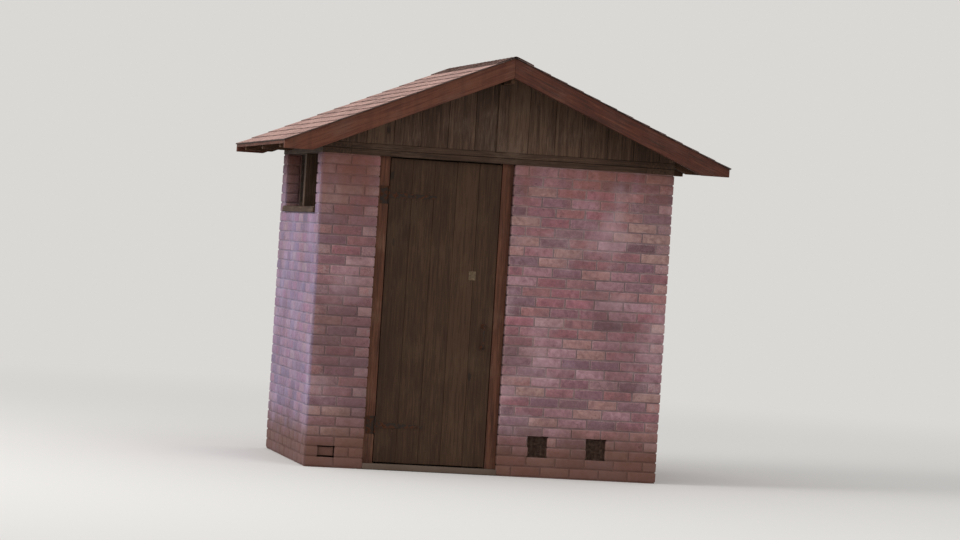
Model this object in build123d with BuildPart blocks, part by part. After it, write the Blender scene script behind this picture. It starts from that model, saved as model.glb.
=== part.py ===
from build123d import *
import os
from math import atan2, cos, floor, hypot, radians, tan

# A brick outhouse with one room, one board door and a low gabled roof.
# +Z is up, the door side faces -Y, and the origin lies on the ground under the middle of the walls.
# Every size is in millimetres.

# Brickwork: 12 brick lengths wide and 9 deep, in 31 courses, with side walls of 25 courses
WALL_WIDTH = 2428.9
WALL_DEPTH = 1819.3
WALL_HEIGHT = 2108.2
SIDE_WALL_HEIGHT = 1702.0
WALL_THICKNESS = 193.7
PIER_WIDTH = 396.9
DOORWAY_WIDTH = 923.9
BRICK_WIDTH = 92.1
MORTAR_JOINT = 9.5
COURSE_HEIGHT = 67.7

# Two air holes through the wide front panel, and a half-brick pocket in the pier
HOLE_WIDTH = 135.0
HOLE_COURSES = 2
HOLE_FIRST_COURSE = 2
HOLE_FROM_CORNER = 428.0
HOLE_SPACING = 406.4
POCKET_WIDTH = 111.0
POCKET_FROM_CORNER = 148.0
POCKET_COURSES = 1
POCKET_FIRST_COURSE = 1

# Floor
FLOOR_HEIGHT = 40.0

# Doubled wall plates, and the screened band under the side eaves
PLATE_THICKNESS = 78.0
SILL_THICKNESS = 41.0
SILL_PROJECTION = 15.0
SILL_CHAMFER = 10.0
POST_WIDTH = 76.0
POST_SETBACK = 25.0
SCREEN_THICKNESS = 1.6

# Roof carpentry
ROOF_PITCH = 23.0
ROOF_OVERHANG = 305.0
RAFTER_WIDTH = 51.0
RAFTER_DEPTH = 102.0
BIRDSMOUTH_DEPTH = 25.0
TAIL_PLUMB = 30.0
TAIL_SETBACK = 20.0
RIDGE_THICKNESS = 25.0
RIDGE_DEPTH = 140.0
RIDGE_CLEARANCE = 1.0
DECK_THICKNESS = 22.0
DECK_BOARD = 152.0
BARGE_THICKNESS = 38.0

# Gable boards
GABLE_THICKNESS = 22.0
GABLE_SETBACK = 4.0
GABLE_BOARD = 184.0
BATTEN_WIDTH = 70.0
BATTEN_THICKNESS = 19.0
GROOVE_WIDTH = 5.0
GROOVE_DEPTH = 3.0

# Roof covering
SHINGLE_EXPOSURE = 127.0
SHINGLE_BUTT = 9.0
SHINGLE_TAIL = 5.0
ROOFING_DRIP = 12.0
CAP_REACH = 125.0
CAP_THICKNESS = 6.0

# Door frame and leaf
FRAME_RECESS = 50.0
JAMB_WIDTH = 76.0
JAMB_DEPTH = 110.0
STOP_PROJECTION = 14.0
DOOR_GAP = 5.0
DOOR_END_GAP = 8.0
LEAF_THICKNESS = 22.0
LEAF_BOARDS = 5
LEDGE_WIDTH = 140.0
LEDGE_THICKNESS = 22.0
LEDGE_INSET = 45.0
BRACE_WIDTH = 115.0

# Strap hinges
HINGE_FROM_END = 250.0
PIN_RADIUS = 3.0
PIN_CLEARANCE = 0.1
KNUCKLE_RADIUS = 6.5
KNUCKLE_GAP = 0.5
KNUCKLE_SEAT = 0.3
PLATE_METAL = 3.0
STRAP_LENGTH = 330.0
STRAP_WIDTH = 42.0
STRAP_TIP = 20.0
FLANGE_WIDTH = 60.0
FLANGE_HEIGHT = 120.0

# Pull handle
PULL_FROM_EDGE = 62.0
PULL_HEIGHT = 930.0
PULL_SPAN = 150.0
PULL_REACH = 42.0
PULL_ROD = 5.5
PULL_BEND = 14.0
PULL_FOOT_RADIUS = 17.0
PULL_FOOT_THICKNESS = 4.0

os.makedirs("parts", exist_ok=True)

# Layout of the walls
right = WALL_WIDTH / 2
left = -right
back = WALL_DEPTH / 2
front = -back
doorway_left = left + PIER_WIDTH
doorway_right = doorway_left + DOORWAY_WIDTH
plate_top = WALL_HEIGHT + PLATE_THICKNESS

# Layout of the roof
slope = tan(radians(ROOF_PITCH))
lean = cos(radians(ROOF_PITCH))
eave_reach = right + ROOF_OVERHANG
barge_outer = back + ROOF_OVERHANG
barge_inner = barge_outer - BARGE_THICKNESS
sides = {"left": -1, "right": 1}


def rafter_bottom(reach):
    """Height of the rafters' underside at a distance from the ridge line."""
    return plate_top - BIRDSMOUTH_DEPTH + (right - reach) * slope


def rafter_top(reach):
    """Height of the rafters' upper edge, which the roof boards lie on."""
    return rafter_bottom(reach) + RAFTER_DEPTH / lean


def deck_top(reach):
    """Height of the upper face of the roof boards."""
    return rafter_top(reach) + DECK_THICKNESS / lean


def oblong(x_low, x_high, y_low, y_high):
    """A rectangle between two corners of the current sketch."""
    with Locations(((x_low + x_high) / 2, (y_low + y_high) / 2)):
        Rectangle(x_high - x_low, y_high - y_low)


def facing_front(y_high):
    """An upright plane seen from the door side, at a depth; extruding it goes towards the front."""
    return Plane.XZ.offset(-y_high)


def hole_span(first_course, courses):
    """Lower and upper edge of a hole that leaves out whole courses."""
    low = first_course * COURSE_HEIGHT
    return low, low + courses * COURSE_HEIGHT + MORTAR_JOINT


# Front wall: a narrow pier and a wide panel beside the doorway
with BuildPart() as front_wall_left:
    with BuildSketch(facing_front(front + WALL_THICKNESS)):
        oblong(left, doorway_left, 0, WALL_HEIGHT)
    extrude(amount=WALL_THICKNESS)
    with BuildSketch(facing_front(front + BRICK_WIDTH + MORTAR_JOINT)):
        pocket_low, pocket_high = hole_span(POCKET_FIRST_COURSE, POCKET_COURSES)
        with Locations((left + POCKET_FROM_CORNER, (pocket_low + pocket_high) / 2)):
            Rectangle(POCKET_WIDTH, pocket_high - pocket_low)
    extrude(amount=BRICK_WIDTH + MORTAR_JOINT, mode=Mode.SUBTRACT)
front_wall_left.part.label = "front_wall_left"
export_step(front_wall_left.part, "parts/front_wall_left.step")

with BuildPart() as front_wall_right:
    with BuildSketch(facing_front(front + WALL_THICKNESS)):
        oblong(doorway_right, right, 0, WALL_HEIGHT)
        hole_middle = right - HOLE_FROM_CORNER - HOLE_SPACING / 2
        hole_low, hole_high = hole_span(HOLE_FIRST_COURSE, HOLE_COURSES)
        with Locations((hole_middle, (hole_low + hole_high) / 2)):
            with GridLocations(HOLE_SPACING, 1, 2, 1):
                Rectangle(HOLE_WIDTH, hole_high - hole_low, mode=Mode.SUBTRACT)
    extrude(amount=WALL_THICKNESS)
front_wall_right.part.label = "front_wall_right"
export_step(front_wall_right.part, "parts/front_wall_right.step")

# Rear wall, the full width of the building
with BuildPart() as rear_wall:
    with BuildSketch(Plane.XY):
        oblong(left, right, back - WALL_THICKNESS, back)
    extrude(amount=WALL_HEIGHT)
rear_wall.part.label = "rear_wall"
export_step(rear_wall.part, "parts/rear_wall.step")

# Concrete floor between the walls, with a tongue that fills the doorway
with BuildPart() as floor_slab:
    with BuildSketch(Plane.XY):
        oblong(left + WALL_THICKNESS, right - WALL_THICKNESS, front + WALL_THICKNESS, back - WALL_THICKNESS)
        oblong(doorway_left, doorway_right, front, front + WALL_THICKNESS)
    extrude(amount=FLOOR_HEIGHT)
floor_slab.part.label = "floor_slab"
export_step(floor_slab.part, "parts/floor_slab.step")

# Side walls stop short of the eaves; a sill, a post and a wire screen close the band above them
for side, sign in sides.items():
    outer = sign * right
    inner = sign * (right - WALL_THICKNESS)
    side_low = min(outer, inner)
    room_front = front + WALL_THICKNESS
    room_back = back - WALL_THICKNESS

    with BuildPart() as side_wall:
        with BuildSketch(Plane.XY):
            oblong(side_low, side_low + WALL_THICKNESS, room_front, room_back)
        extrude(amount=SIDE_WALL_HEIGHT)
    side_wall.part.label = f"{side}_wall"
    export_step(side_wall.part, f"parts/{side}_wall.step")

    with BuildPart() as sill:
        with BuildSketch(facing_front(room_back)):
            Polygon(
                (inner, SIDE_WALL_HEIGHT),
                (inner, SIDE_WALL_HEIGHT + SILL_THICKNESS),
                (outer + sign * (SILL_PROJECTION - SILL_CHAMFER), SIDE_WALL_HEIGHT + SILL_THICKNESS),
                (outer + sign * SILL_PROJECTION, SIDE_WALL_HEIGHT + SILL_THICKNESS - SILL_CHAMFER),
                (outer + sign * SILL_PROJECTION, SIDE_WALL_HEIGHT),
            )
        extrude(amount=room_back - room_front)
    sill.part.label = f"band_sill_{side}"
    export_step(sill.part, f"parts/band_sill_{side}.step")

    post_outer = outer - sign * POST_SETBACK
    post_inner = post_outer - sign * POST_WIDTH
    with BuildPart() as post:
        with BuildSketch(Plane.XY.offset(SIDE_WALL_HEIGHT + SILL_THICKNESS)):
            oblong(min(post_outer, post_inner), max(post_outer, post_inner), -POST_WIDTH / 2, POST_WIDTH / 2)
        extrude(amount=WALL_HEIGHT - SIDE_WALL_HEIGHT - SILL_THICKNESS)
    post.part.label = f"band_post_{side}"
    export_step(post.part, f"parts/band_post_{side}.step")

    screen_inner = post_inner - sign * SCREEN_THICKNESS
    with BuildPart() as screen:
        with BuildSketch(Plane.XY.offset(SIDE_WALL_HEIGHT + SILL_THICKNESS)):
            oblong(min(post_inner, screen_inner), max(post_inner, screen_inner), room_front, room_back)
        extrude(amount=WALL_HEIGHT - SIDE_WALL_HEIGHT - SILL_THICKNESS)
    screen.part.label = f"band_screen_{side}"
    export_step(screen.part, f"parts/band_screen_{side}.step")

    with BuildPart() as side_plate:
        with BuildSketch(Plane.XY.offset(WALL_HEIGHT)):
            oblong(side_low, side_low + WALL_THICKNESS, front, back)
        extrude(amount=PLATE_THICKNESS)
    side_plate.part.label = f"plate_{side}"
    export_step(side_plate.part, f"parts/plate_{side}.step")

# End plates fit between the side plates; the front one is the lintel of the doorway
for end, plate_front in {"front": front, "rear": back - WALL_THICKNESS}.items():
    with BuildPart() as end_plate:
        with BuildSketch(Plane.XY.offset(WALL_HEIGHT)):
            oblong(left + WALL_THICKNESS, right - WALL_THICKNESS, plate_front, plate_front + WALL_THICKNESS)
        extrude(amount=PLATE_THICKNESS)
    end_plate.part.label = f"plate_{end}"
    export_step(end_plate.part, f"parts/plate_{end}.step")

# Ridge board, on edge between the two slopes, as long as the roof boards
ridge_top = rafter_top(RIDGE_THICKNESS / 2)
with BuildPart() as ridge_board:
    with BuildSketch(facing_front(barge_inner)):
        oblong(-RIDGE_THICKNESS / 2, RIDGE_THICKNESS / 2, ridge_top - RIDGE_DEPTH, ridge_top)
    extrude(amount=2 * barge_inner)
ridge_board.part.label = "ridge_board"
export_step(ridge_board.part, "parts/ridge_board.step")

# Rafters: a plumb cut on the ridge board, a notch on the wall plate and a clipped tail
tail_reach = eave_reach - TAIL_SETBACK
rafter_middle = back - GABLE_SETBACK - GABLE_THICKNESS - RAFTER_WIDTH / 2
rafter_rows = {"front": -rafter_middle, "middle": 0, "rear": rafter_middle}


def clipped_end(reach):
    """Corners of a rafter's foot: an upright face under the top edge, then a level cut."""
    level = rafter_top(reach) - TAIL_PLUMB
    return [(reach, rafter_top(reach)), (reach, level), (right + (rafter_bottom(right) - level) / slope, level)]


for side, sign in sides.items():
    for row, middle in rafter_rows.items():
        corners = [
            (RIDGE_THICKNESS / 2, rafter_bottom(RIDGE_THICKNESS / 2)),
            (RIDGE_THICKNESS / 2, rafter_top(RIDGE_THICKNESS / 2)),
            *clipped_end(tail_reach),
            (right, rafter_bottom(right)),
            (right, plate_top),
            (right - BIRDSMOUTH_DEPTH / slope, plate_top),
        ]
        with BuildPart() as rafter:
            with BuildSketch(facing_front(middle + RAFTER_WIDTH / 2)):
                Polygon(*[(sign * reach, height) for reach, height in corners])
            extrude(amount=RAFTER_WIDTH)
        rafter.part.label = f"rafter_{side}_{row}"
        export_step(rafter.part, f"parts/rafter_{side}_{row}.step")

# Gables: upright boards on the end plates, notched for the ridge board, with a batten over the middle joint
gable_outer = back - GABLE_SETBACK
groove_count = floor(right / GABLE_BOARD)
for end, sign in {"front": -1, "rear": 1}.items():
    with BuildPart() as gable:
        with BuildSketch(facing_front(max(sign * gable_outer, sign * (gable_outer - GABLE_THICKNESS)))):
            Polygon(
                (left, plate_top),
                (right, plate_top),
                (right, rafter_top(right)),
                (0, rafter_top(0)),
                (left, rafter_top(right)),
            )
            notch_reach = RIDGE_THICKNESS / 2 + RIDGE_CLEARANCE
            notch_low = ridge_top - RIDGE_DEPTH - RIDGE_CLEARANCE
            with Locations((0, (notch_low + rafter_top(0)) / 2)):
                Rectangle(2 * notch_reach, rafter_top(0) - notch_low, mode=Mode.SUBTRACT)
        extrude(amount=GABLE_THICKNESS)
        with BuildSketch(Plane.XY.offset(plate_top)):
            with Locations((0, sign * gable_outer)):
                with GridLocations(GABLE_BOARD, 1, 2 * groove_count + 1, 1):
                    Rectangle(GROOVE_WIDTH, 2 * GROOVE_DEPTH)
        extrude(amount=rafter_top(0) - plate_top, mode=Mode.SUBTRACT)
        with BuildSketch(Plane.XY.offset(plate_top)):
            oblong(
                -BATTEN_WIDTH / 2,
                BATTEN_WIDTH / 2,
                min(sign * (gable_outer - GROOVE_DEPTH), sign * (gable_outer + BATTEN_THICKNESS)),
                max(sign * (gable_outer - GROOVE_DEPTH), sign * (gable_outer + BATTEN_THICKNESS)),
            )
        extrude(amount=notch_low - plate_top)
    gable.part.label = f"gable_{end}"
    export_step(gable.part, f"parts/gable_{end}.step")

# Roof boards, barge boards and shingle courses, one set for each slope
board_step = DECK_BOARD * lean
shingle_step = SHINGLE_EXPOSURE * lean
drip_reach = eave_reach + ROOFING_DRIP
course_count = floor((drip_reach - CAP_REACH) / shingle_step)


def covering(reach, thickness):
    """A corner of the roof covering, at a thickness square to the roof boards."""
    return (reach, deck_top(reach) + thickness / lean)


for side, sign in sides.items():
    underside = [(0, rafter_top(0))]
    for joint in range(1, floor(eave_reach / board_step) + 1):
        seam = joint * board_step
        underside.append((seam - GROOVE_WIDTH / 2, rafter_top(seam - GROOVE_WIDTH / 2)))
        underside.append((seam, rafter_top(seam) + GROOVE_DEPTH))
        underside.append((seam + GROOVE_WIDTH / 2, rafter_top(seam + GROOVE_WIDTH / 2)))
    corners = underside + [(eave_reach, rafter_top(eave_reach)), (eave_reach, deck_top(eave_reach)), (0, deck_top(0))]
    with BuildPart() as deck:
        with BuildSketch(facing_front(barge_inner)):
            Polygon(*[(sign * reach, height) for reach, height in corners])
        extrude(amount=2 * barge_inner)
    deck.part.label = f"roof_boards_{side}"
    export_step(deck.part, f"parts/roof_boards_{side}.step")

    foot = clipped_end(eave_reach)
    corners = [(0, rafter_bottom(0)), (0, deck_top(0)), (eave_reach, deck_top(eave_reach)), *foot[1:]]
    for end, y_high in {"front": -barge_inner, "rear": barge_outer}.items():
        with BuildPart() as barge:
            with BuildSketch(facing_front(y_high)):
                Polygon(*[(sign * reach, height) for reach, height in corners])
            extrude(amount=BARGE_THICKNESS)
        barge.part.label = f"barge_{end}_{side}"
        export_step(barge.part, f"parts/barge_{end}_{side}.step")

    corners = [(0, deck_top(0)), covering(drip_reach, 0), covering(drip_reach, SHINGLE_BUTT)]
    for course in range(1, course_count + 1):
        reach = drip_reach - course * shingle_step
        corners.append(covering(reach, SHINGLE_TAIL))
        corners.append(covering(reach, SHINGLE_BUTT))
    corners.append(covering(0, SHINGLE_BUTT))
    with BuildPart() as shingles:
        with BuildSketch(facing_front(barge_outer + ROOFING_DRIP)):
            Polygon(*[(sign * reach, height) for reach, height in corners])
        extrude(amount=2 * (barge_outer + ROOFING_DRIP))
    shingles.part.label = f"shingles_{side}"
    export_step(shingles.part, f"parts/shingles_{side}.step")

# Ridge cap, a bent strip over the top courses of both slopes
with BuildPart() as ridge_cap:
    with BuildSketch(facing_front(barge_outer + ROOFING_DRIP)):
        cap_under = covering(CAP_REACH, SHINGLE_BUTT)
        cap_over = covering(CAP_REACH, SHINGLE_BUTT + CAP_THICKNESS)
        Polygon(
            covering(0, SHINGLE_BUTT),
            cap_under,
            cap_over,
            covering(0, SHINGLE_BUTT + CAP_THICKNESS),
            (-cap_over[0], cap_over[1]),
            (-cap_under[0], cap_under[1]),
        )
    extrude(amount=2 * (barge_outer + ROOFING_DRIP))
ridge_cap.part.label = "ridge_cap"
export_step(ridge_cap.part, "parts/ridge_cap.step")

# Door frame: rebated jambs between the floor and the front plate
frame_face = front + FRAME_RECESS
leaf_left = doorway_left + JAMB_WIDTH + DOOR_GAP
leaf_right = doorway_right - JAMB_WIDTH - DOOR_GAP
leaf_low = FLOOR_HEIGHT + DOOR_END_GAP
leaf_high = WALL_HEIGHT - DOOR_END_GAP
leaf_back = frame_face + LEAF_THICKNESS
stop_face = leaf_back + DOOR_GAP
for side, wall_line, sign in (("left", doorway_left, 1), ("right", doorway_right, -1)):
    jamb_line = wall_line + sign * JAMB_WIDTH
    stop_line = jamb_line + sign * STOP_PROJECTION
    with BuildPart() as jamb:
        with BuildSketch(Plane.XY.offset(FLOOR_HEIGHT)):
            Polygon(
                (wall_line, frame_face),
                (jamb_line, frame_face),
                (jamb_line, stop_face),
                (stop_line, stop_face),
                (stop_line, frame_face + JAMB_DEPTH),
                (wall_line, frame_face + JAMB_DEPTH),
            )
        extrude(amount=WALL_HEIGHT - FLOOR_HEIGHT)
    jamb.part.label = f"door_jamb_{side}"
    export_step(jamb.part, f"parts/door_jamb_{side}.step")

# Door leaf: upright boards with open joints on the outer face
leaf_width = leaf_right - leaf_left
leaf_board = leaf_width / LEAF_BOARDS
with BuildPart() as door_leaf:
    with BuildSketch(Plane.XY.offset(leaf_low)):
        oblong(leaf_left, leaf_right, frame_face, leaf_back)
        with Locations(((leaf_left + leaf_right) / 2, frame_face)):
            with GridLocations(leaf_board, 1, LEAF_BOARDS - 1, 1):
                Rectangle(GROOVE_WIDTH, 2 * GROOVE_DEPTH, mode=Mode.SUBTRACT)
    extrude(amount=leaf_high - leaf_low)
door_leaf.part.label = "door_leaf"
export_step(door_leaf.part, "parts/door_leaf.step")

# Ledges across the inside of the leaf behind the hinge straps, and a brace that rises from the hinge side
ledge_left = leaf_left + LEDGE_INSET
ledge_right = leaf_right - LEDGE_INSET
hinge_heights = {"bottom": leaf_low + HINGE_FROM_END, "top": leaf_high - HINGE_FROM_END}
for name, hinge_height in hinge_heights.items():
    with BuildPart() as ledge:
        with BuildSketch(facing_front(leaf_back + LEDGE_THICKNESS)):
            oblong(ledge_left, ledge_right, hinge_height - LEDGE_WIDTH / 2, hinge_height + LEDGE_WIDTH / 2)
        extrude(amount=LEDGE_THICKNESS)
    ledge.part.label = f"door_ledge_{name}"
    export_step(ledge.part, f"parts/door_ledge_{name}.step")

brace_low = hinge_heights["bottom"] + LEDGE_WIDTH / 2
brace_high = hinge_heights["top"] - LEDGE_WIDTH / 2
brace_rise = brace_high - brace_low
brace_angle = atan2(brace_rise, ledge_right - ledge_left - BRACE_WIDTH)
brace_foot = BRACE_WIDTH * hypot(1, 1 / tan(brace_angle))
with BuildPart() as door_brace:
    with BuildSketch(facing_front(leaf_back + LEDGE_THICKNESS)):
        Polygon(
            (ledge_left, brace_low),
            (ledge_left + brace_foot, brace_low),
            (ledge_right, brace_high),
            (ledge_right - brace_foot, brace_high),
        )
    extrude(amount=LEDGE_THICKNESS)
door_brace.part.label = "door_brace"
export_step(door_brace.part, "parts/door_brace.step")

# Strap hinges: a flange with the pin on the jamb, and a tapered strap that turns on the pin
pin_x = leaf_left - DOOR_GAP / 2
pin_y = frame_face - KNUCKLE_RADIUS - KNUCKLE_SEAT
strap_reach = STRAP_WIDTH / 2
flange_reach = FLANGE_HEIGHT / 2
for name, hinge_height in hinge_heights.items():
    with BuildPart() as flange:
        with BuildSketch(facing_front(frame_face)):
            with Locations((pin_x, hinge_height)):
                oblong(-FLANGE_WIDTH, 0, -flange_reach, flange_reach)
                notch_width = KNUCKLE_RADIUS + KNUCKLE_GAP
                with Locations((-notch_width / 2, 0)):
                    Rectangle(notch_width, STRAP_WIDTH + 2 * KNUCKLE_GAP, mode=Mode.SUBTRACT)
        extrude(amount=PLATE_METAL)
        knuckle_height = flange_reach - strap_reach - KNUCKLE_GAP
        for knuckle_low in (hinge_height - flange_reach, hinge_height + strap_reach + KNUCKLE_GAP):
            with BuildSketch(Plane.XY.offset(knuckle_low)):
                with Locations((pin_x, pin_y)):
                    Circle(KNUCKLE_RADIUS)
            extrude(amount=knuckle_height)
        with BuildSketch(Plane.XY.offset(hinge_height - flange_reach)):
            with Locations((pin_x, pin_y)):
                Circle(PIN_RADIUS)
        extrude(amount=FLANGE_HEIGHT)
    flange.part.label = f"hinge_flange_{name}"
    export_step(flange.part, f"parts/hinge_flange_{name}.step")

    with BuildPart() as strap:
        with BuildSketch(Plane((pin_x, frame_face, hinge_height), x_dir=(1, 0, 0), z_dir=(0, -1, 0))):
            Polygon(
                (0, strap_reach),
                (0, -strap_reach),
                (STRAP_LENGTH - STRAP_TIP / 2, -STRAP_TIP / 2),
                (STRAP_LENGTH - STRAP_TIP / 2, STRAP_TIP / 2),
            )
            with Locations((STRAP_LENGTH - STRAP_TIP / 2, 0)):
                Circle(STRAP_TIP / 2)
        extrude(amount=PLATE_METAL)
        with BuildSketch(Plane.XY.offset(hinge_height - strap_reach)):
            with Locations((pin_x, pin_y)):
                Circle(KNUCKLE_RADIUS)
        extrude(amount=STRAP_WIDTH)
        with BuildSketch(Plane.XY.offset(hinge_height - strap_reach)):
            with Locations((pin_x, pin_y)):
                Circle(PIN_RADIUS + PIN_CLEARANCE)
        extrude(amount=STRAP_WIDTH, mode=Mode.SUBTRACT)
    strap.part.label = f"hinge_strap_{name}"
    export_step(strap.part, f"parts/hinge_strap_{name}.step")

# Pull handle: a bent rod between two round feet on the outer face of the leaf
pull_x = leaf_right - PULL_FROM_EDGE
pull_low = PULL_HEIGHT - PULL_SPAN / 2
pull_high = PULL_HEIGHT + PULL_SPAN / 2
pull_y = frame_face - PULL_REACH
with BuildPart() as door_pull:
    with BuildLine():
        FilletPolyline(
            (pull_x, frame_face, pull_low),
            (pull_x, pull_y, pull_low),
            (pull_x, pull_y, pull_high),
            (pull_x, frame_face, pull_high),
            radius=PULL_BEND,
        )
    with BuildSketch(facing_front(frame_face)):
        with Locations((pull_x, pull_low)):
            Circle(PULL_ROD)
    sweep()
    with BuildSketch(facing_front(frame_face)):
        with Locations((pull_x, pull_low), (pull_x, pull_high)):
            Circle(PULL_FOOT_RADIUS)
    extrude(amount=PULL_FOOT_THICKNESS)
door_pull.part.label = "door_pull"
export_step(door_pull.part, "parts/door_pull.step")
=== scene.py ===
from functools import cache, partial
from math import cos, pi, radians, sin, sqrt, tan
from random import Random

import bmesh
import bpy
import numpy as np
from mathutils import Matrix, Vector, noise


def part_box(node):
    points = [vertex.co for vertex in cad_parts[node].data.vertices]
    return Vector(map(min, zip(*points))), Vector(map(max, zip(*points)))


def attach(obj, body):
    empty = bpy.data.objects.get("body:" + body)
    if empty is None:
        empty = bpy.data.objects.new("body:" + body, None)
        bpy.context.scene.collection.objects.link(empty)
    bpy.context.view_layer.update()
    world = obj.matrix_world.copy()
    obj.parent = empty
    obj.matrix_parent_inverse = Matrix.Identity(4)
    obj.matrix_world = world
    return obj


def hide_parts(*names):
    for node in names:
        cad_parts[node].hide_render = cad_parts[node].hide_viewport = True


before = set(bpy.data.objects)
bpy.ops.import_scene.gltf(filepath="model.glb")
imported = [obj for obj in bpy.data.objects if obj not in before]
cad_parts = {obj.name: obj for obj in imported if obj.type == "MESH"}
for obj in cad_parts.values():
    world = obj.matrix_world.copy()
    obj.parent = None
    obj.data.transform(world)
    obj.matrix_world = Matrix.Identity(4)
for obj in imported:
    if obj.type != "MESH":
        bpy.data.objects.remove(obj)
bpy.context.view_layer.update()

# Camera. It stands 25 m from the door, in front of the hut and 5 m to its left, at the height of a standing
# person's eye, and leans 3.6 degrees, so the hut's upright edges lean to the right as in the photograph.
EYE = Vector((-4.984, -25.408, 1.6))
AIM = Vector((-0.090, -0.892, 1.383))
LENS_MM = 138.75
SENSOR_MM = 36
SIGHT = 400
LEAN = radians(3.6)

camera = bpy.data.objects.new("camera", bpy.data.cameras.new("camera"))
camera.data.lens = LENS_MM
camera.data.sensor_width = SENSOR_MM
camera.data.clip_end = SIGHT
back_axis = (EYE - AIM).normalized()
level_axis = Vector((0, 0, 1)).cross(back_axis).normalized()
plumb_axis = back_axis.cross(level_axis)
side_axis = level_axis * cos(LEAN) + plumb_axis * sin(LEAN)
top_axis = plumb_axis * cos(LEAN) - level_axis * sin(LEAN)
camera.matrix_world = Matrix.Translation(EYE) @ Matrix((side_axis, top_axis, back_axis)).transposed().to_4x4()
bpy.context.collection.objects.link(camera)
bpy.context.scene.camera = camera
bpy.context.scene.view_settings.view_transform = "Standard"

# Studio. A wide pale floor that fades into an even pale sky, with a broad soft lamp high on the left that
# models the side wall, and a weaker one on the right.
FLOOR_REACH = 150
FLOOR_DROP = 0.001
FLOOR_COLOUR = "C9C6C2"
FLOOR_SEEN = "DBD9D6"
FADE_FROM, FADE_TO = 4, 14
SKY_LIGHT = 0.74
SKY_SEEN = "DAD8D5"
LAMP_SIZE = 9
LAMP_AIM = Vector((0, 0, 1.2))


def linear(code):
    """A linear colour from an sRGB hex code."""
    parts = [int(code[i:i + 2], 16) / 255 for i in (0, 2, 4)]
    return (*[v / 12.92 if v <= 0.04045 else ((v + 0.055) / 1.055) ** 2.4 for v in parts], 1)


def add_node(tree, kind, *ordered, stops=(), **given):
    """Adds a node of a kind, with its operation or type of data after a space. Names in capitals are
    inputs, the others settings; an input takes a value or a node."""
    kind, *choice = kind.split()
    made = tree.nodes.new("ShaderNode" + kind)
    if choice:
        setattr(made, "data_type" if kind == "Mix" else "operation", choice[0])
    for name in [name for name in given if name[0].islower()]:
        setattr(made, name, given.pop(name))
    for i, (place, code) in enumerate(stops):
        ramp = made.color_ramp.elements
        stop = ramp[i] if i < len(ramp) else ramp.new(place)
        stop.position = place
        stop.color = linear(code)
    sockets = [socket for socket in made.inputs if socket.enabled]
    named = {socket.name.replace(" ", ""): socket for socket in reversed(sockets)}
    for socket, value in [*zip(sockets, ordered), *((named[name], value) for name, value in given.items())]:
        if isinstance(value, bpy.types.Node):
            value = next(out for out in value.outputs if out.enabled)
        if isinstance(value, bpy.types.NodeSocket):
            tree.links.new(value, socket)
        else:
            socket.default_value = linear(value) if isinstance(value, str) else value
    return made


def new_finish(name):
    """An empty material, what adds a node to it, and the coordinates of the object."""
    made = bpy.data.materials.new(name)
    made.use_nodes = True
    made.node_tree.nodes.clear()
    add = partial(add_node, made.node_tree)
    return made, add, add("TexCoord").outputs["Object"]


def seen_by_eye(add):
    """Is 1 for what the camera sees, straight or in gloss or glass, and 0 for the light that is given off."""
    path = add("LightPath")
    seen = add("Math MAXIMUM", path.outputs["Is Camera Ray"], path.outputs["Is Glossy Ray"])
    return add("Math MAXIMUM", seen, path.outputs["Is Transmission Ray"])


def show(name, points, faces, finish):
    """Links a plain mesh into the scene."""
    mesh = bpy.data.meshes.new(name)
    mesh.from_pydata(points, [], faces)
    mesh.materials.append(finish)
    made = bpy.data.objects.new(name, mesh)
    bpy.context.collection.objects.link(made)
    return made


studio_floor, add, place = new_finish("studio_floor")
seen = seen_by_eye(add)
reach = add("VectorMath LENGTH", place).outputs["Value"]
far = add("MapRange", reach, FADE_FROM, FADE_TO, interpolation_type="SMOOTHSTEP")
faded = add("Math MULTIPLY", far, seen)
pale = add("Mix RGBA", seen, FLOOR_COLOUR, FLOOR_SEEN)
lit_floor = add("BsdfDiffuse", Color=pale)
add("OutputMaterial", add("MixShader", faded, lit_floor, add("Emission", Color=SKY_SEEN)))
ends = (-FLOOR_REACH, FLOOR_REACH)
show("floor", [(x, y, -FLOOR_DROP) for y in ends for x in ends], [(0, 1, 3, 2)], studio_floor)

world = bpy.data.worlds.new("studio")
world.use_nodes = True
world.node_tree.nodes.clear()
add = partial(add_node, world.node_tree)
lit_sky = add("Background", Color="FFFFFF", Strength=SKY_LIGHT)
seen_sky = add("Background", Color=SKY_SEEN, Strength=1)
add("OutputWorld", add("MixShader", seen_by_eye(add), lit_sky, seen_sky))
bpy.context.scene.world = world

for name, spot, power in (("key_lamp", Vector((-14, -3, 9)), 1500), ("fill_lamp", Vector((7, -15, 7)), 420)):
    lamp = bpy.data.objects.new(name, bpy.data.lights.new(name, "AREA"))
    lamp.data.shape = "DISK"
    lamp.data.size = LAMP_SIZE
    lamp.data.energy = power
    lamp.location = spot
    lamp.rotation_euler = (spot - LAMP_AIM).to_track_quat("Z", "Y").to_euler()
    bpy.context.collection.objects.link(lamp)

# Mortar. Brown sand and lime, laid as the beds and joints of the brickwork and struck back from its face.
# It is one rough body in each wall, and the bricks stand 5 mm proud of it.
BRICK_LENGTH = 0.1937
BRICK_WIDTH = 0.0921
BRICK_HEIGHT = 0.0582
JOINT = 0.0095
COURSE = BRICK_HEIGHT + JOINT
STEP = BRICK_LENGTH + JOINT
STRUCK_BACK = 0.005
MORTAR_GRID = 0.03
MORTAR_EDGE = 0.002
BODY_LAP = 0.01
HOLE_WIDTH = 0.135
HOLE_FROM_CORNER = 0.428
HOLE_SPACING = 0.4064
HOLE_COURSES = (2, 3)
HOLE_CLEAR = 0.002
HOLE_JOINT = 0.004
POCKET_WIDTH = 0.111
POCKET_FROM_CORNER = 0.148
POCKET_COURSE = 1
POCKET_DEPTH = 0.108
POCKET_JOINTS = (0.006, 0.004)

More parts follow.
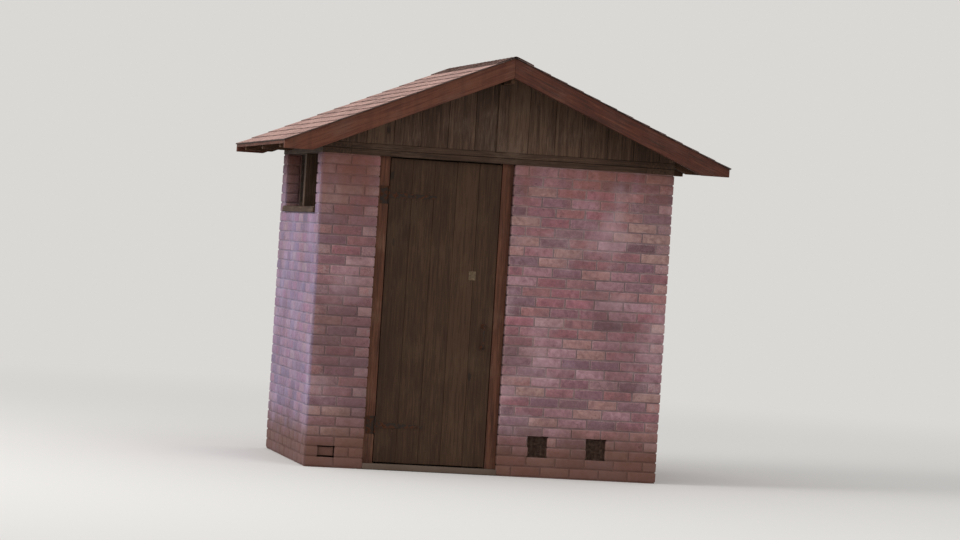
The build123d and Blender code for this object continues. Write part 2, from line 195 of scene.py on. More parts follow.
pier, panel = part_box("front_wall_left"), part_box("front_wall_right")
rear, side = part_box("rear_wall"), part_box("left_wall")
LEFT, RIGHT = pier[0].x, panel[1].x
FRONT, BACK = pier[0].y, rear[1].y
WALL = rear[1].y - rear[0].y
WALL_TOP, SIDE_TOP = pier[1].z, side[1].z
doorway = (pier[1].x - LEFT, panel[0].x - LEFT)
outer_hole = RIGHT - HOLE_FROM_CORNER - LEFT
middles = (outer_hole - HOLE_SPACING, outer_hole)
holes = [(middle - HOLE_WIDTH / 2, middle + HOLE_WIDTH / 2) for middle in middles]
hole_low, hole_high = HOLE_COURSES[0] * COURSE, (HOLE_COURSES[1] + 1) * COURSE + JOINT
pocket = (POCKET_FROM_CORNER - POCKET_WIDTH / 2, POCKET_FROM_CORNER + POCKET_WIDTH / 2)
pocket_low, pocket_high = POCKET_COURSE * COURSE, (POCKET_COURSE + 1) * COURSE + JOINT


class Pile:
    """Solids gathered into one mesh. Each has a tint of its own and coordinates that follow its grain."""

    def __init__(self):
        self.points, self.faces, self.tints, self.grains = [], [], [], []

    def lay(self, points, faces, tint, grains=None):
        start = len(self.points)
        self.points.extend([tuple(point) for point in points])
        self.faces.extend([[start + corner for corner in face] for face in faces])
        self.tints.extend([tint] * len(points))
        self.grains.extend(points if grains is None else [tuple(grain) for grain in grains])

    def make(self, name, body, finish, slot, *nodes, smooth=False):
        made = show(name, self.points, self.faces, finish)
        tints = made.data.attributes.new("tint", "FLOAT", "POINT")
        tints.data.foreach_set("value", self.tints)
        grains = made.data.attributes.new("grain", "FLOAT_VECTOR", "POINT")
        grains.data.foreach_set("vector", [v for grain in self.grains for v in grain])
        if smooth:
            made.data.shade_smooth()
        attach(made, body)
        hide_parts(*nodes)
        return made


@cache
def rows_over(*counts):
    """Grid places on the six sides of a block, counted in rows, and the faces between them."""
    places = {}
    for place in np.ndindex(*[count + 1 for count in counts]):
        if any(at in (0, count) for at, count in zip(place, counts)):
            places[place] = len(places)
    faces = []
    for axis in range(3):
        one, two = (axis + 1) % 3, (axis + 2) % 3
        for end in (0, counts[axis]):
            for i, j in np.ndindex(counts[one], counts[two]):
                corners = []
                for di, dj in ((0, 0), (1, 0), (1, 1), (0, 1)):
                    place = [0, 0, 0]
                    place[axis], place[one], place[two] = end, i + di, j + dj
                    corners.append(places[tuple(place)])
                faces.append(corners if end else corners[::-1])
    return np.array(list(places)), faces


def block(low, high, edge, cuts):
    """A block with rounded edges between two corners. Cuts divide its sides, so that it can be worn."""
    rows = [
        np.array([start, *np.linspace(start + edge, end - edge, parts + 1), end])
        for start, end, parts in zip(low, high, cuts)
    ]
    places, faces = rows_over(*[len(row) - 1 for row in rows])
    points = np.stack([row[places[:, i]] for i, row in enumerate(rows)], axis=1)
    core = np.clip(points, np.array(low) + edge, np.array(high) - edge)
    out = points - core
    return core + out * edge / np.linalg.norm(out, axis=1, keepdims=True), faces


def worn(points, depth, waves, shift=0.0):
    """Moves points a little, with so many waves to the metre, as an uneven surface has."""
    away = Vector((shift, shift * 0.7, shift * 1.3))
    return np.array([Vector(p) + noise.noise_vector(Vector(p) * waves + away) * depth for p in points])


# The unevenness comes out the same in every run.
noise.seed_set(7)


def weathered_and_painted_light(add, place, shade):
    """Adds salts, grime, soil and timber stain to brick and mortar, and painted sky light and shade."""
    x, y, z = add("SeparateXYZ", place).outputs
    # Salts come out as a pale bloom in patches. A lilac tint over the left wall, in patches, is painted cool
    # sky light.
    bloom = add("TexNoise", Vector=place, Scale=2.6, Detail=7, Roughness=0.62)
    bloomed = add("MapRange", bloom, 0.53, 0.76, 0, 0.42)
    painted_sky_tint = add("MapRange", x, LEFT + 0.02, LEFT + 0.008, 0, 1)
    painted_sky_tint = add("Math MULTIPLY", painted_sky_tint, add("MapRange", bloom, 0.3, 0.7, 0.2, 0.42))
    # Grime lies in patches on the faces; painted shade darkens the front of the pier and the sides of the
    # openings.
    grime = add("TexNoise", Vector=place, Scale=1.9, Detail=6)
    outside = add("Math LESS_THAN", y, FRONT + 0.03)
    painted_pier_shade = add("Math MULTIPLY", add("MapRange", x, LEFT + 0.5, LEFT + 0.3, 0, 0.19), outside)
    grime_and_pier_shade = add("MapRange", add("Math ADD", grime, painted_pier_shade), 0.5, 0.78, 0, 0.6)
    # Painted shade in the recesses: the sides of the openings grow darker further into the wall.
    within = add("Math LESS_THAN", add("Math ABSOLUTE", x), RIGHT - 0.03)
    deep = add("Math MULTIPLY", add("MapRange", y, FRONT + 0.006, FRONT + 0.05, 0, 0.75), within)
    inner = add("MapRange", y, FRONT + WALL - 0.006, FRONT + WALL - 0.05)
    deep = add("Math MULTIPLY", deep, inner)
    # Rain throws soil against the foot of the wall.
    splash = add("TexNoise", Vector=place, Scale=5, Detail=7)
    height = add("Math MULTIPLY_ADD", splash, -0.3, z)
    soiled = add("MapRange", height, 0.27, -0.03, 0, 0.85, interpolation_type="SMOOTHSTEP")
    # Stain from the timber and painted shade from the eaves darken the top courses, further down on the pier
    # with its painted shade.
    run = add("VectorMath MULTIPLY", place, (9, 9, 1.1))
    wash = add("TexNoise", Vector=run, Scale=1, Detail=5)
    height = add("Math ADD", add("Math MULTIPLY_ADD", wash, 0.9, z), painted_pier_shade)
    stain_and_eave_shade = add("MapRange", height, 2.17, 2.77, 0, 0.6, interpolation_type="SMOOTHSTEP")
    for mask, colour in (
        (bloomed, "CDB3BA"), (painted_sky_tint, "858AB8"), (grime_and_pier_shade, "5E4444"),
        (deep, "38282A"), (soiled, "624335"), (stain_and_eave_shade, "7A4A38"),
    ):
        shade = add("Mix RGBA", mask, shade, colour)
    return shade


mortar, add, place = new_finish("sand_lime_mortar")
patch = add("TexNoise", Vector=place, Scale=7, Detail=5)
shade = add("ValToRGB", patch, stops=((0.3, "887176"), (0.52, "9C8385"), (0.7, "AD9291")))
# Sand of 1 to 2 mm shows as light and dark grains.
sand = add("TexNoise", Vector=place, Scale=600, Detail=2)
grains = add("ValToRGB", sand, stops=((0.35, "8C8C8C"), (0.5, "C8C8C8"), (0.66, "FFFFFF")))
shade = add("Mix RGBA", 0.7, shade, grains, blend_type="MULTIPLY")
shade = weathered_and_painted_light(add, place, shade)
rough = add("TexNoise", Vector=place, Scale=220, Detail=5)
lumps = add("Bump", Height=rough, Strength=0.8, Distance=0.0025)
bed = add("BsdfPrincipled", BaseColor=shade, Roughness=0.95, SpecularIORLevel=0.3, Normal=lumps)
add("OutputMaterial", bed)


def fill(pile, low, high):
    """Lays one body of mortar between two corners."""
    cuts = [max(1, round((end - start) / MORTAR_GRID)) for start, end in zip(low, high)]
    points, faces = block(low, high, MORTAR_EDGE, cuts)
    points = worn(points, depth=0.0016, waves=31)
    points[:, 2] = np.clip(points[:, 2], 0, high[2])
    pile.lay(points, faces, 0.5)


back_low, back_high = BACK - WALL + STRUCK_BACK, BACK - STRUCK_BACK
front_low, front_high = FRONT + STRUCK_BACK, FRONT + WALL - STRUCK_BACK
walls = ("front_wall_left", "front_wall_right", "rear_wall", "left_wall", "right_wall")
beds = {name: Pile() for name in walls}
fill(beds["rear_wall"], (LEFT + STRUCK_BACK, back_low, 0), (RIGHT - STRUCK_BACK, back_high, WALL_TOP))
for name, start in (("left_wall", LEFT), ("right_wall", RIGHT - WALL)):
    low = (start + STRUCK_BACK, front_high - BODY_LAP, 0)
    high = (start + WALL - STRUCK_BACK, back_low + BODY_LAP, SIDE_TOP)
    fill(beds[name], low, high)

# The pocket and the holes leave mortar out, so the front wall's two bodies are made in parts beside them.
first, last = LEFT + STRUCK_BACK, LEFT + doorway[0] - STRUCK_BACK
foot, head = pocket_low - BODY_LAP, pocket_high + BODY_LAP
for low, high in (
    ((first, front_low, 0), (last, front_high, pocket_low - HOLE_CLEAR)),
    ((first, front_low, pocket_high + HOLE_CLEAR), (last, front_high, WALL_TOP)),
    ((first, FRONT + POCKET_DEPTH, foot), (last, front_high, head)),
    ((LEFT + pocket[1] + POCKET_JOINTS[1], front_low, foot), (last, front_high, head)),
    ((first, front_low, foot), (LEFT + pocket[0] - POCKET_JOINTS[0], front_high, head)),
):
    fill(beds["front_wall_left"], low, high)

first, last = LEFT + doorway[1] + STRUCK_BACK, RIGHT - STRUCK_BACK
foot, head = hole_low - BODY_LAP, hole_high + BODY_LAP
starts = [first, *[LEFT + end + HOLE_JOINT for start, end in holes]]
ends = [*[LEFT + start - HOLE_JOINT for start, end in holes], last]
for low, high in (
    ((first, front_low, 0), (last, front_high, hole_low - HOLE_CLEAR)),
    ((first, front_low, hole_high + HOLE_CLEAR), (last, front_high, WALL_TOP)),
    *[((start, front_low, foot), (end, front_high, head)) for start, end in zip(starts, ends)],
):
    fill(beds["front_wall_right"], low, high)

for name, pile in beds.items():
    pile.make(name.replace("wall", "mortar"), "hut", mortar, "brick", name)

# Bricks. Clay, pressed and fired in a stack kiln, so no two are quite one colour: mauve, red-brown, buff
# and purple where the fire reached them. They lie two deep in running bond, with arrises worn and chipped.
BRICKS_WIDE, BRICKS_DEEP = 12, 9
BRICK_EDGE = 0.0024
EDGE_WEAR = (0.7, 1.5)
SMALLEST = 0.03
LAID_WITHIN = 0.001
OUT_OF_LEVEL, OUT_OF_LINE = 0.009, 0.007
CHIPPED = 0.22
CHIP_REACH = (0.012, 0.022)
CHIP_DEPTH = (0.003, 0.007)
HALF_BRICK_JOINTS = (0.004, 0.006)
HALF_BRICK_FACE, HALF_BRICK_BACK = 0.02, 0.104

clay, add, place = new_finish("fired_clay_brick")
tint = add("Attribute", attribute_name="tint").outputs["Fac"]
own = add("VectorMath MULTIPLY_ADD", tint, (31, 17, 23), place)
fired = add("ValToRGB", tint, stops=(
    (0.0, "A76E79"), (0.12, "8D5D64"), (0.22, "B08B95"), (0.34, "97656C"), (0.44, "806170"), (0.54, "A47373"),
    (0.64, "A98982"), (0.72, "9B6669"), (0.82, "8B6D79"), (0.9, "6E505A"), (1.0, "B38F93"),
))
# Clouds of about 3 cm where the kiln's fire was uneven, and a dark flash over the end of some bricks.
cloud = add("TexNoise", Vector=own, Scale=34, Detail=4, Distortion=0.6)
clouds = add("ValToRGB", cloud, stops=((0.25, "A89C9E"), (0.5, "DCD6D6"), (0.75, "FFFFFF")))
shade = add("Mix RGBA", 0.85, fired, clouds, blend_type="MULTIPLY")
flashed = add("MapRange", add("TexNoise", Vector=own, Scale=8, Detail=3), 0.52, 0.7, 0, 0.6)
# Iron spots and sand of 1 to 3 mm in the faces, and pits where grit fell out.
spot = add("TexVoronoi", Vector=own, Scale=230)
few = add("Math GREATER_THAN", add("SeparateColor", spot.outputs["Color"]).outputs["Red"], 0.62)
spotted = add("Math MULTIPLY", add("MapRange", spot, 0.1, 0.34, 0.8, 0), few)
sanded = add("MapRange", add("TexNoise", Vector=own, Scale=750, Detail=2), 0.52, 0.75, 0, 0.6)
bend = add("TexNoise", Vector=own, Scale=20, Detail=4).outputs["Color"]
bent = add("VectorMath MULTIPLY_ADD", bend, (0.05, 0.05, 0.05), own)
pit = add("TexVoronoi", Vector=bent, Scale=48)
fallen = add("SeparateColor", pit.outputs["Color"])
few = add("Math GREATER_THAN", fallen.outputs["Red"], 0.8)
pitted = add("Math MULTIPLY_ADD", fallen.outputs["Green"], -0.22, pit)
pitted = add("Math MULTIPLY", add("MapRange", pitted, -0.06, 0.03, 1, 0), few)
# How far a place lies from the nearest arris: of its distances from the brick's faces, the middle one.
x, y, z = add("SeparateXYZ", add("Attribute", attribute_name="grain").outputs["Vector"]).outputs
widest, least, whole = [
    add(f"Math {kind}", x, add(f"Math {kind}", y, z)) for kind in ("MAXIMUM", "MINIMUM", "ADD")
]
arris = add("Math SUBTRACT", add("Math SUBTRACT", whole, widest), least)
# Worn arrises show paler clay, and mortar is smeared over them here and there.
fray = add("TexNoise", Vector=own, Scale=130, Detail=4)
rubbed = add("Math MULTIPLY_ADD", fray, -0.013, arris)
rubbed = add("MapRange", rubbed, -0.002, -0.0065, 0, 0.55)
smear = add("TexNoise", Vector=own, Scale=27, Detail=5, Roughness=0.6)
smeared = add("Math MULTIPLY_ADD", smear, -0.05, arris)
smeared = add("MapRange", smeared, -0.023, -0.032, 0, 0.7)
# Hair cracks from the firing run through some of the bricks.
crack = add("TexVoronoi", Vector=bent, Scale=11, feature="DISTANCE_TO_EDGE")
few = add("MapRange", add("TexNoise", Vector=own, Scale=3), 0.64, 0.67, 0, 1)
cracked = add("Math MULTIPLY", add("MapRange", crack, 0.0, 0.009, 1, 0), few)
for mask, colour in (
    (flashed, "684A52"), (spotted, "4A3034"), (sanded, "CCA9A6"),
    (add("Math MULTIPLY", pitted, 0.7), "452E30"), (rubbed, "B9958F"), (smeared, "9E8788"),
    (add("Math MULTIPLY", cracked, 0.75), "3C2A2B"),
):
    shade = add("Mix RGBA", mask, shade, colour)
shade = weathered_and_painted_light(add, place, shade)
# Relief: lines that the wire cut along the clay, a rough skin, and the pits, cracks and worn arrises.
stretched = add("VectorMath MULTIPLY", own, (14, 14, 210))
cut = add("TexNoise", Vector=stretched, Scale=1, Detail=4)
skin = add("TexNoise", Vector=own, Scale=190, Detail=6, Roughness=0.7)
relief = add("Math MULTIPLY_ADD", cut, 0.8, skin)
for mask, depth in ((pitted, 1.6), (cracked, 1.2), (rubbed, 1.0)):
    relief = add("Math MULTIPLY_ADD", mask, -depth, relief)
texture = add("Bump", Height=relief, Strength=0.7, Distance=0.002)
brick = add("BsdfPrincipled", BaseColor=shade, Roughness=0.9, SpecularIORLevel=0.3, Normal=texture)
add("OutputMaterial", brick)

dice = Random(7)


def row_of(start, count):
    """Bricks end to end with a joint between them: where each one starts and ends."""
    return [(start + i * STEP, start + i * STEP + BRICK_LENGTH) for i in range(count)]


def clear_of(row, gaps):
    """The same row round openings. A brick is cut where an opening takes part of it."""
    for low, high in gaps:
        parts = [part for start, end in row for part in ((start, min(end, low)), (max(start, high), end))]
        row = [(start, end) for start, end in parts if end - start > SMALLEST]
    return row


def lay_brick(stacks, x, y, level, cuts):
    """Lays one brick in the wall that it belongs to, given its ends along X and Y and its course."""
    middle = Vector((sum(x) / 2, sum(y) / 2, (level + 0.5) * COURSE))
    if middle.y < FRONT + WALL:
        owner = "front_wall_left" if middle.x < LEFT + doorway[1] else "front_wall_right"
    elif middle.y > BACK - WALL:
        owner = "rear_wall"
    else:
        owner = "left_wall" if middle.x < 0 else "right_wall"
    low = [v + dice.uniform(-LAID_WITHIN, LAID_WITHIN) for v in (x[0], y[0], level * COURSE + JOINT)]
    high = [v + dice.uniform(-LAID_WITHIN, LAID_WITHIN) for v in (x[1], y[1], (level + 1) * COURSE)]
    lengthwise = 0 if x[1] - x[0] > y[1] - y[0] else 1
    if lengthwise:
        cuts = (cuts[1], cuts[0], cuts[2])
    points, faces = block(low, high, BRICK_EDGE * dice.uniform(*EDGE_WEAR), cuts)
    arrises = np.minimum(points - np.array(low), np.array(high) - points)
    points = worn(points, depth=0.0013, waves=24, shift=dice.uniform(0, 90))
    reach = points[:, lengthwise] - middle[lengthwise]
    points[:, 2] += reach * dice.uniform(-OUT_OF_LEVEL, OUT_OF_LEVEL)
    points[:, 1 - lengthwise] += reach * dice.uniform(-OUT_OF_LINE, OUT_OF_LINE)
    if dice.random() < CHIPPED:
        corner = np.array([dice.choice(ends) for ends in zip(low, high)])
        away = np.linalg.norm(points - corner, axis=1)
        depth = np.clip(1 - away / dice.uniform(*CHIP_REACH), 0, 1) * dice.uniform(*CHIP_DEPTH)
        inward = np.array(middle) - points
        points += inward * (depth / np.linalg.norm(inward, axis=1))[:, None]
    stacks[owner].lay(points, faces, dice.random(), arrises)


stacks = {name: Pile() for name in walls}
full_cuts, plain_cuts = (3, 1, 2), (2, 1, 1)
side_courses = round((SIDE_TOP - JOINT) / COURSE)
for level in range(round((WALL_TOP - JOINT) / COURSE)):
    odd = level % 2
    openings = [doorway, *(holes if level in HOLE_COURSES else [])]
    outer_gaps = openings + [pocket] if level == POCKET_COURSE else openings
    outer_row = row_of(STEP / 2, BRICKS_WIDE - 1) if odd else row_of(0, BRICKS_WIDE)
    inner_row = row_of(STEP, BRICKS_WIDE - 2) if odd else row_of(STEP / 2, BRICKS_WIDE - 1)
    if level >= side_courses:
        start = STEP / 2 if odd else 0
        end = start + BRICK_WIDTH
        inner_row += [(start, end), (RIGHT - LEFT - end, RIGHT - LEFT - start)]
    for row, y, cuts in (
        (clear_of(outer_row, outer_gaps), FRONT, full_cuts),
        (clear_of(inner_row, openings), FRONT + WALL - BRICK_WIDTH, plain_cuts),
        (outer_row, BACK - BRICK_WIDTH, full_cuts),
        (inner_row, BACK - WALL, plain_cuts),
    ):
        for start, end in row:
            lay_brick(stacks, (LEFT + start, LEFT + end), (y, y + BRICK_WIDTH), level, cuts)
    outer_row = row_of(0, BRICKS_DEEP) if odd else row_of(STEP / 2, BRICKS_DEEP - 1)
    inner_row = row_of(STEP / 2, BRICKS_DEEP - 1) if odd else row_of(STEP, BRICKS_DEEP - 2)
    if level >= side_courses:
        outer_row = [outer_row[0], outer_row[-1]] if odd else []
        inner_row = []
    for row, x, cuts in (
        (outer_row, LEFT, full_cuts),
        (inner_row, LEFT + WALL - BRICK_WIDTH, plain_cuts),
        (outer_row, RIGHT - BRICK_WIDTH, full_cuts),
        (inner_row, RIGHT - WALL, plain_cuts),
    ):
        for start, end in row:
            lay_brick(stacks, (x, x + BRICK_WIDTH), (FRONT + start, FRONT + end), level, cuts)
# A half brick closes the pocket in the pier, set back in it without mortar.
ends = (LEFT + pocket[0] + HALF_BRICK_JOINTS[0], LEFT + pocket[1] - HALF_BRICK_JOINTS[1])
lay_brick(stacks, ends, (FRONT + HALF_BRICK_FACE, FRONT + HALF_BRICK_BACK), POCKET_COURSE, plain_cuts)
for name, pile in stacks.items():
    pile.make(name.replace("wall", "bricks"), "hut", clay, "brick", name, smooth=True)

# Floor. Concrete poured between the walls and out through the doorway, floated by hand and worn smooth
# where people step in.
SLAB_GRID = 0.07
SLAB_EDGE = 0.005
SLAB_LAP = 0.004
TONGUE_FIT, TONGUE_BACK, TONGUE_LAP = 0.0005, 0.001, 0.01

concrete, add, place = new_finish("floated_concrete")
patch = add("TexNoise", Vector=place, Scale=5, Detail=7)
shade = add("ValToRGB", patch, stops=((0.3, "6B6058"), (0.5, "80756B"), (0.7, "938A7F")))
pitted = add("MapRange", add("TexVoronoi", Vector=place, Scale=240), 0.05, 0.3, 0.5, 0)
trodden = add("MapRange", add("TexNoise", Vector=place, Scale=2.2, Detail=5), 0.45, 0.75, 0, 0.6)
# Soil from outside lies on the part that fills the doorway.
inward = add("Math MULTIPLY_ADD", patch, 0.12, add("SeparateXYZ", place).outputs["Y"])
muddied = add("MapRange", inward, -0.58, -0.78, 0, 0.85, interpolation_type="SMOOTHSTEP")
for mask, colour in ((pitted, "5E5750"), (trodden, "5C4C40"), (muddied, "4F3D30")):
    shade = add("Mix RGBA", mask, shade, colour)
trowel = add("TexNoise", Vector=place, Scale=30, Detail=6)
lumps = add("Bump", Height=trowel, Strength=0.35, Distance=0.003)
add("OutputMaterial", add("BsdfPrincipled", BaseColor=shade, Roughness=0.85, Normal=lumps))

slab_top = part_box("floor_slab")[1].z
slab = Pile()
inset = WALL - SLAB_LAP
for low, high in (
    ((LEFT + inset, FRONT + inset, 0), (RIGHT - inset, BACK - inset, slab_top)),
    (
        (LEFT + doorway[0] + TONGUE_FIT, FRONT + TONGUE_BACK, 0),
        (LEFT + doorway[1] - TONGUE_FIT, FRONT + WALL + TONGUE_LAP, slab_top),
    ),
):
    cuts = [max(1, round((end - start) / SLAB_GRID)) for start, end in zip(low, high)]
    points, faces = block(low, high, SLAB_EDGE, cuts)
    points = worn(points, depth=0.0012, waves=9)
    points[:, 2] = np.clip(points[:, 2], 0, slab_top)
    slab.lay(points, faces, 0.5)
slab.make("floor_slab_cast", "hut", concrete, "concrete", "floor_slab", smooth=True)

# Timber round the screens. A weathered sill on each side wall, a post in the middle of the opening, and thin
# strips that hold the edges of the wire. Rough-sawn pine, stained brown and nailed, its arrises eased.
ALONG_X, ALONG_Y, UPRIGHT = (1, 0, 0), (0, 1, 0), (0, 0, 1)
SIDES = (("left", -1), ("right", 1))
TIMBER_EDGE = 0.002
TIMBER_PART = 0.22
TIMBER_BEND = 0.0012
SILL_CHAMFER = 0.010
STRIP_WIDTH = 0.035
STRIP_THICKNESS = 0.012
STRIP_EDGE = 0.001


def stained_wood(name, deep, middle, pale, bare, wear, gloss=0.8):
    """Pine with its grain drawn along each board, a stain in three depths, and bare wood where it is worn."""
    made, add, place = new_finish(name)
    grain = add("Attribute", attribute_name="grain").outputs["Vector"]
    tint = add("Attribute", attribute_name="tint").outputs["Fac"]
    # Growth rings about 12 mm apart, drawn out along the board, and fibres coarse enough to show.
    ringed = add("VectorMath MULTIPLY", grain, (0.05, 1, 1))
    rings = add("TexNoise", Vector=ringed, Scale=80, Detail=5, Distortion=0.5)
    drawn = add("VectorMath MULTIPLY", grain, (0.02, 1, 1))
    fibres = add("TexNoise", Vector=drawn, Scale=650, Detail=3)
    depth = add("Math MULTIPLY_ADD", tint, 0.22, add("Math MULTIPLY_ADD", fibres, 0.45, rings))
    shade = add("ValToRGB", depth, stops=((0.58, deep), (0.82, middle), (1.0, pale)))
    # Knots, 15 to 30 mm across, about one in half a metre.
    spread = add("VectorMath MULTIPLY", grain, (0.45, 1, 1))
    knotted = add("MapRange", add("TexVoronoi", Vector=spread, Scale=5.5), 0.05, 0.085, 0.8, 0)
    # Rain draws streaks down the faces and takes the stain off in patches.
    run = add("VectorMath MULTIPLY", place, (22, 22, 1.6))
    streaked = add("MapRange", add("TexNoise", Vector=run, Scale=1, Detail=4), 0.45, 0.8, 0, 0.5)
    thin = add("Math ADD", add("TexNoise", Vector=place, Scale=5, Detail=6), fibres)
    worn_off = add("MapRange", thin, 1.02, 1.22, 0, wear)
    for mask, colour in ((knotted, "1F140D"), (streaked, deep), (worn_off, bare)):
        shade = add("Mix RGBA", mask, shade, colour)
    sawn = add("Bump", Height=add("Math MULTIPLY_ADD", rings, 1.5, fibres), Strength=0.5, Distance=0.0012)
    wood = add("BsdfPrincipled", BaseColor=shade, Roughness=gloss, SpecularIORLevel=0.25, Normal=sawn)
    add("OutputMaterial", wood)
    return made


def saw(pile, outline, low, high, grain, axis=1, edge=TIMBER_EDGE, every=TIMBER_PART, bend=TIMBER_BEND):
    """Saws one timber: an outline in X and Z, or in X and Y where axis is 2, and its ends along the axis."""
    depth = Vector([float(i == axis) for i in range(3)])
    made = bmesh.new()
    corners = [(a, low, b) if axis == 1 else (a, b, low) for a, b in outline]
    face = made.faces.new([made.verts.new(corner) for corner in corners])
    pushed = bmesh.ops.extrude_face_region(made, geom=[face])["geom"]
    moved = [v for v in pushed if isinstance(v, bmesh.types.BMVert)]
    bmesh.ops.translate(made, verts=moved, vec=depth * (high - low))
    bmesh.ops.recalc_face_normals(made, faces=made.faces)
    bmesh.ops.bevel(made, geom=made.edges[:], offset=edge, segments=2, profile=0.5, affect="EDGES")
    along = Vector(grain).normalized()
    reach = [along.dot(v.co) for v in made.verts]
    count = max(1, round((max(reach) - min(reach)) / every))
    for i in range(1, count):
        at = along * (min(reach) + (max(reach) - min(reach)) * i / count)
        geom = made.verts[:] + made.edges[:] + made.faces[:]
        bmesh.ops.bisect_plane(made, geom=geom, plane_co=at, plane_no=along)
    made.verts.index_update()
    across = depth.cross(along) if abs(depth.dot(along)) < 0.5 else Vector(ALONG_X)
    through = along.cross(across)
    shift = dice.uniform(0, 60)
    points = [v.co.copy() for v in made.verts]
    grains = [(along.dot(p) + shift, across.dot(p) + shift * 0.37, through.dot(p)) for p in points]
    faces = [[v.index for v in face.verts] for face in made.faces]
    made.free()
    points = worn(worn(points, depth=bend, waves=1.7, shift=shift), depth=0.0004, waves=19, shift=shift)
    pile.lay(points, faces, dice.random(), grains)


def rectangle(x_low, x_high, z_low, z_high):
    """The corners of a level outline."""
    return [(x_low, z_low), (x_high, z_low), (x_high, z_high), (x_low, z_high)]


def soften(made):
    """Shades the eased edges smoothly and leaves the faces flat."""
    made.data.shade_smooth()
    made.modifiers.new("flat_faces", "WEIGHTED_NORMAL").keep_sharp = False


brown_pine = stained_wood("brown_stained_pine", "302117", "433024", "564031", "6C594A", 0.4)
sills, posts, strips = Pile(), Pile(), Pile()
for name, out in SIDES:
    low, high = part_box(f"band_sill_{name}")
    nose, inner = (low.x, high.x) if out < 0 else (high.x, low.x)
    chamfer = [(nose - out * SILL_CHAMFER, high.z), (nose, high.z - SILL_CHAMFER)]
    saw(sills, [(inner, low.z), (inner, high.z), *chamfer, (nose, low.z)], low.y, high.y, ALONG_Y)
    low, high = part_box(f"band_post_{name}")
    saw(posts, rectangle(low.x, high.x, low.z, high.z), low.y, high.y, UPRIGHT)
    low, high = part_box(f"band_screen_{name}")
    face = low.x if out > 0 else high.x
    cover = sorted((face, face - out * STRIP_THICKNESS))
    for z in (low.z, high.z - STRIP_WIDTH):
        saw(strips, rectangle(*cover, z, z + STRIP_WIDTH), low.y, high.y, ALONG_Y, edge=STRIP_EDGE)
    between = rectangle(*cover, low.z + STRIP_WIDTH, high.z - STRIP_WIDTH)
    for y in (low.y, -STRIP_WIDTH / 2, high.y - STRIP_WIDTH):
        saw(strips, between, y, y + STRIP_WIDTH, UPRIGHT, edge=STRIP_EDGE)
soften(sills.make("eaves_sills", "hut", brown_pine, "timber", "band_sill_left", "band_sill_right"))
soften(posts.make("eaves_posts", "hut", brown_pine, "timber", "band_post_left", "band_post_right"))
soften(strips.make("screen_strips", "hut", brown_pine, "timber"))

# Screens. Welded wire cloth with 12.7 mm squares, of 1.2 mm galvanised wire gone dull, closes the bands
# under the eaves. A finer cloth with 3 mm squares, furred with dust, keeps flies out of the two air holes.
BAND_CLOTH = (0.0127, 0.0006)
HOLE_CLOTH = (0.003, 0.00035)
HOLE_SCREEN_BACK = 0.026
HOLE_SCREEN_LAP = 0.002
WIRE_PART = 0.12
WIRE_BEND, WIRE_WAVES = 0.0005, 6
WELDED = 0.9


def mottled(name, scale, detail, stops, rough=None, **given):
    """A finish in patches of three shades. Its roughness follows them, where it is given as a pair."""
    made, add, place = new_finish(name)
    patch = add("TexNoise", Vector=place, Scale=scale, Detail=detail)
    if rough:
        given["Roughness"] = add("MapRange", patch, 0.3, 0.7, *rough)
    shade = add("ValToRGB", patch, stops=stops)
    add("OutputMaterial", add("BsdfPrincipled", BaseColor=shade, **given))
    return made


def draw_wire(pile, start, end, radius):
    """One wire between two points, a little out of straight, with four sides."""
    along = (end - start).normalized()
    one = along.orthogonal().normalized()
    two = along.cross(one)
    shift = dice.uniform(0, 50)
    parts = max(1, round((end - start).length / WIRE_PART))
    points, faces = [], []
    for i in range(parts + 1):
        at = start.lerp(end, i / parts)
        at += noise.noise_vector(at * WIRE_WAVES + Vector((shift, 0, 0))) * WIRE_BEND
        points += [at + one * radius, at + two * radius, at - one * radius, at - two * radius]
    for i in range(parts):
        faces += [[4 * i + j, 4 * i + (j + 1) % 4, 4 * i + 4 + (j + 1) % 4, 4 * i + 4 + j] for j in range(4)]
    last = 4 * parts
    pile.lay(points, faces + [[3, 2, 1, 0], [last, last + 1, last + 2, last + 3]], dice.random())


def weave(pile, cloth_kind, *sheet):
    """A sheet of wire cloth, given its corner, its two edges and its outward direction."""
    pitch, radius = cloth_kind
    corner, run, rise, outward = [Vector(v) for v in sheet]
    for along, beside, lift in ((rise, run, 0), (run, rise, 2 * radius * WELDED)):
        count = int(beside.length / pitch)
        spare = (beside.length - count * pitch) / 2
        for i in range(count + 1):
            start = corner + outward * lift + beside.normalized() * (spare + i * pitch)
            draw_wire(pile, start, start + along, radius)


dull_wire = mottled(
    "galvanised_wire", 25, 4, ((0.35, "3F2E22"), (0.5, "4E4641"), (0.65, "625E5A")),
    rough=(0.75, 0.5), Metallic=0.8,
)
dusty_wire = mottled(
    "dust_on_galvanised_wire", 60, 5, ((0.38, "4A352B"), (0.52, "6B5347"), (0.66, "7F685A")),
    Roughness=0.9, SpecularIORLevel=0.25,
)
cloth = Pile()
for name, out in SIDES:
    low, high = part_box(f"band_screen_{name}")
    corner = ((low.x + high.x) / 2, low.y, low.z)
    weave(cloth, BAND_CLOTH, corner, (0, high.y - low.y, 0), (0, 0, high.z - low.z), (out, 0, 0))
cloth.make("eaves_screens", "hut", dull_wire, "wire", "band_screen_left", "band_screen_right")
cloth = Pile()
for start, end in holes:
    corner = (LEFT + start - HOLE_SCREEN_LAP, FRONT + HOLE_SCREEN_BACK, hole_low - HOLE_SCREEN_LAP)
    width, height = end - start + 2 * HOLE_SCREEN_LAP, hole_high - hole_low + 2 * HOLE_SCREEN_LAP
    weave(cloth, HOLE_CLOTH, corner, (width, 0, 0), (0, 0, height), (0, -1, 0))
cloth.make("air_hole_screens", "hut", dusty_wire, "wire")

# Wall plates. Pine planks as wide as the wall, two deep, bedded on the top course; the end ones fit between
# the side ones, whose ends show at the corners.
PLANK_SEAM = 0.0008

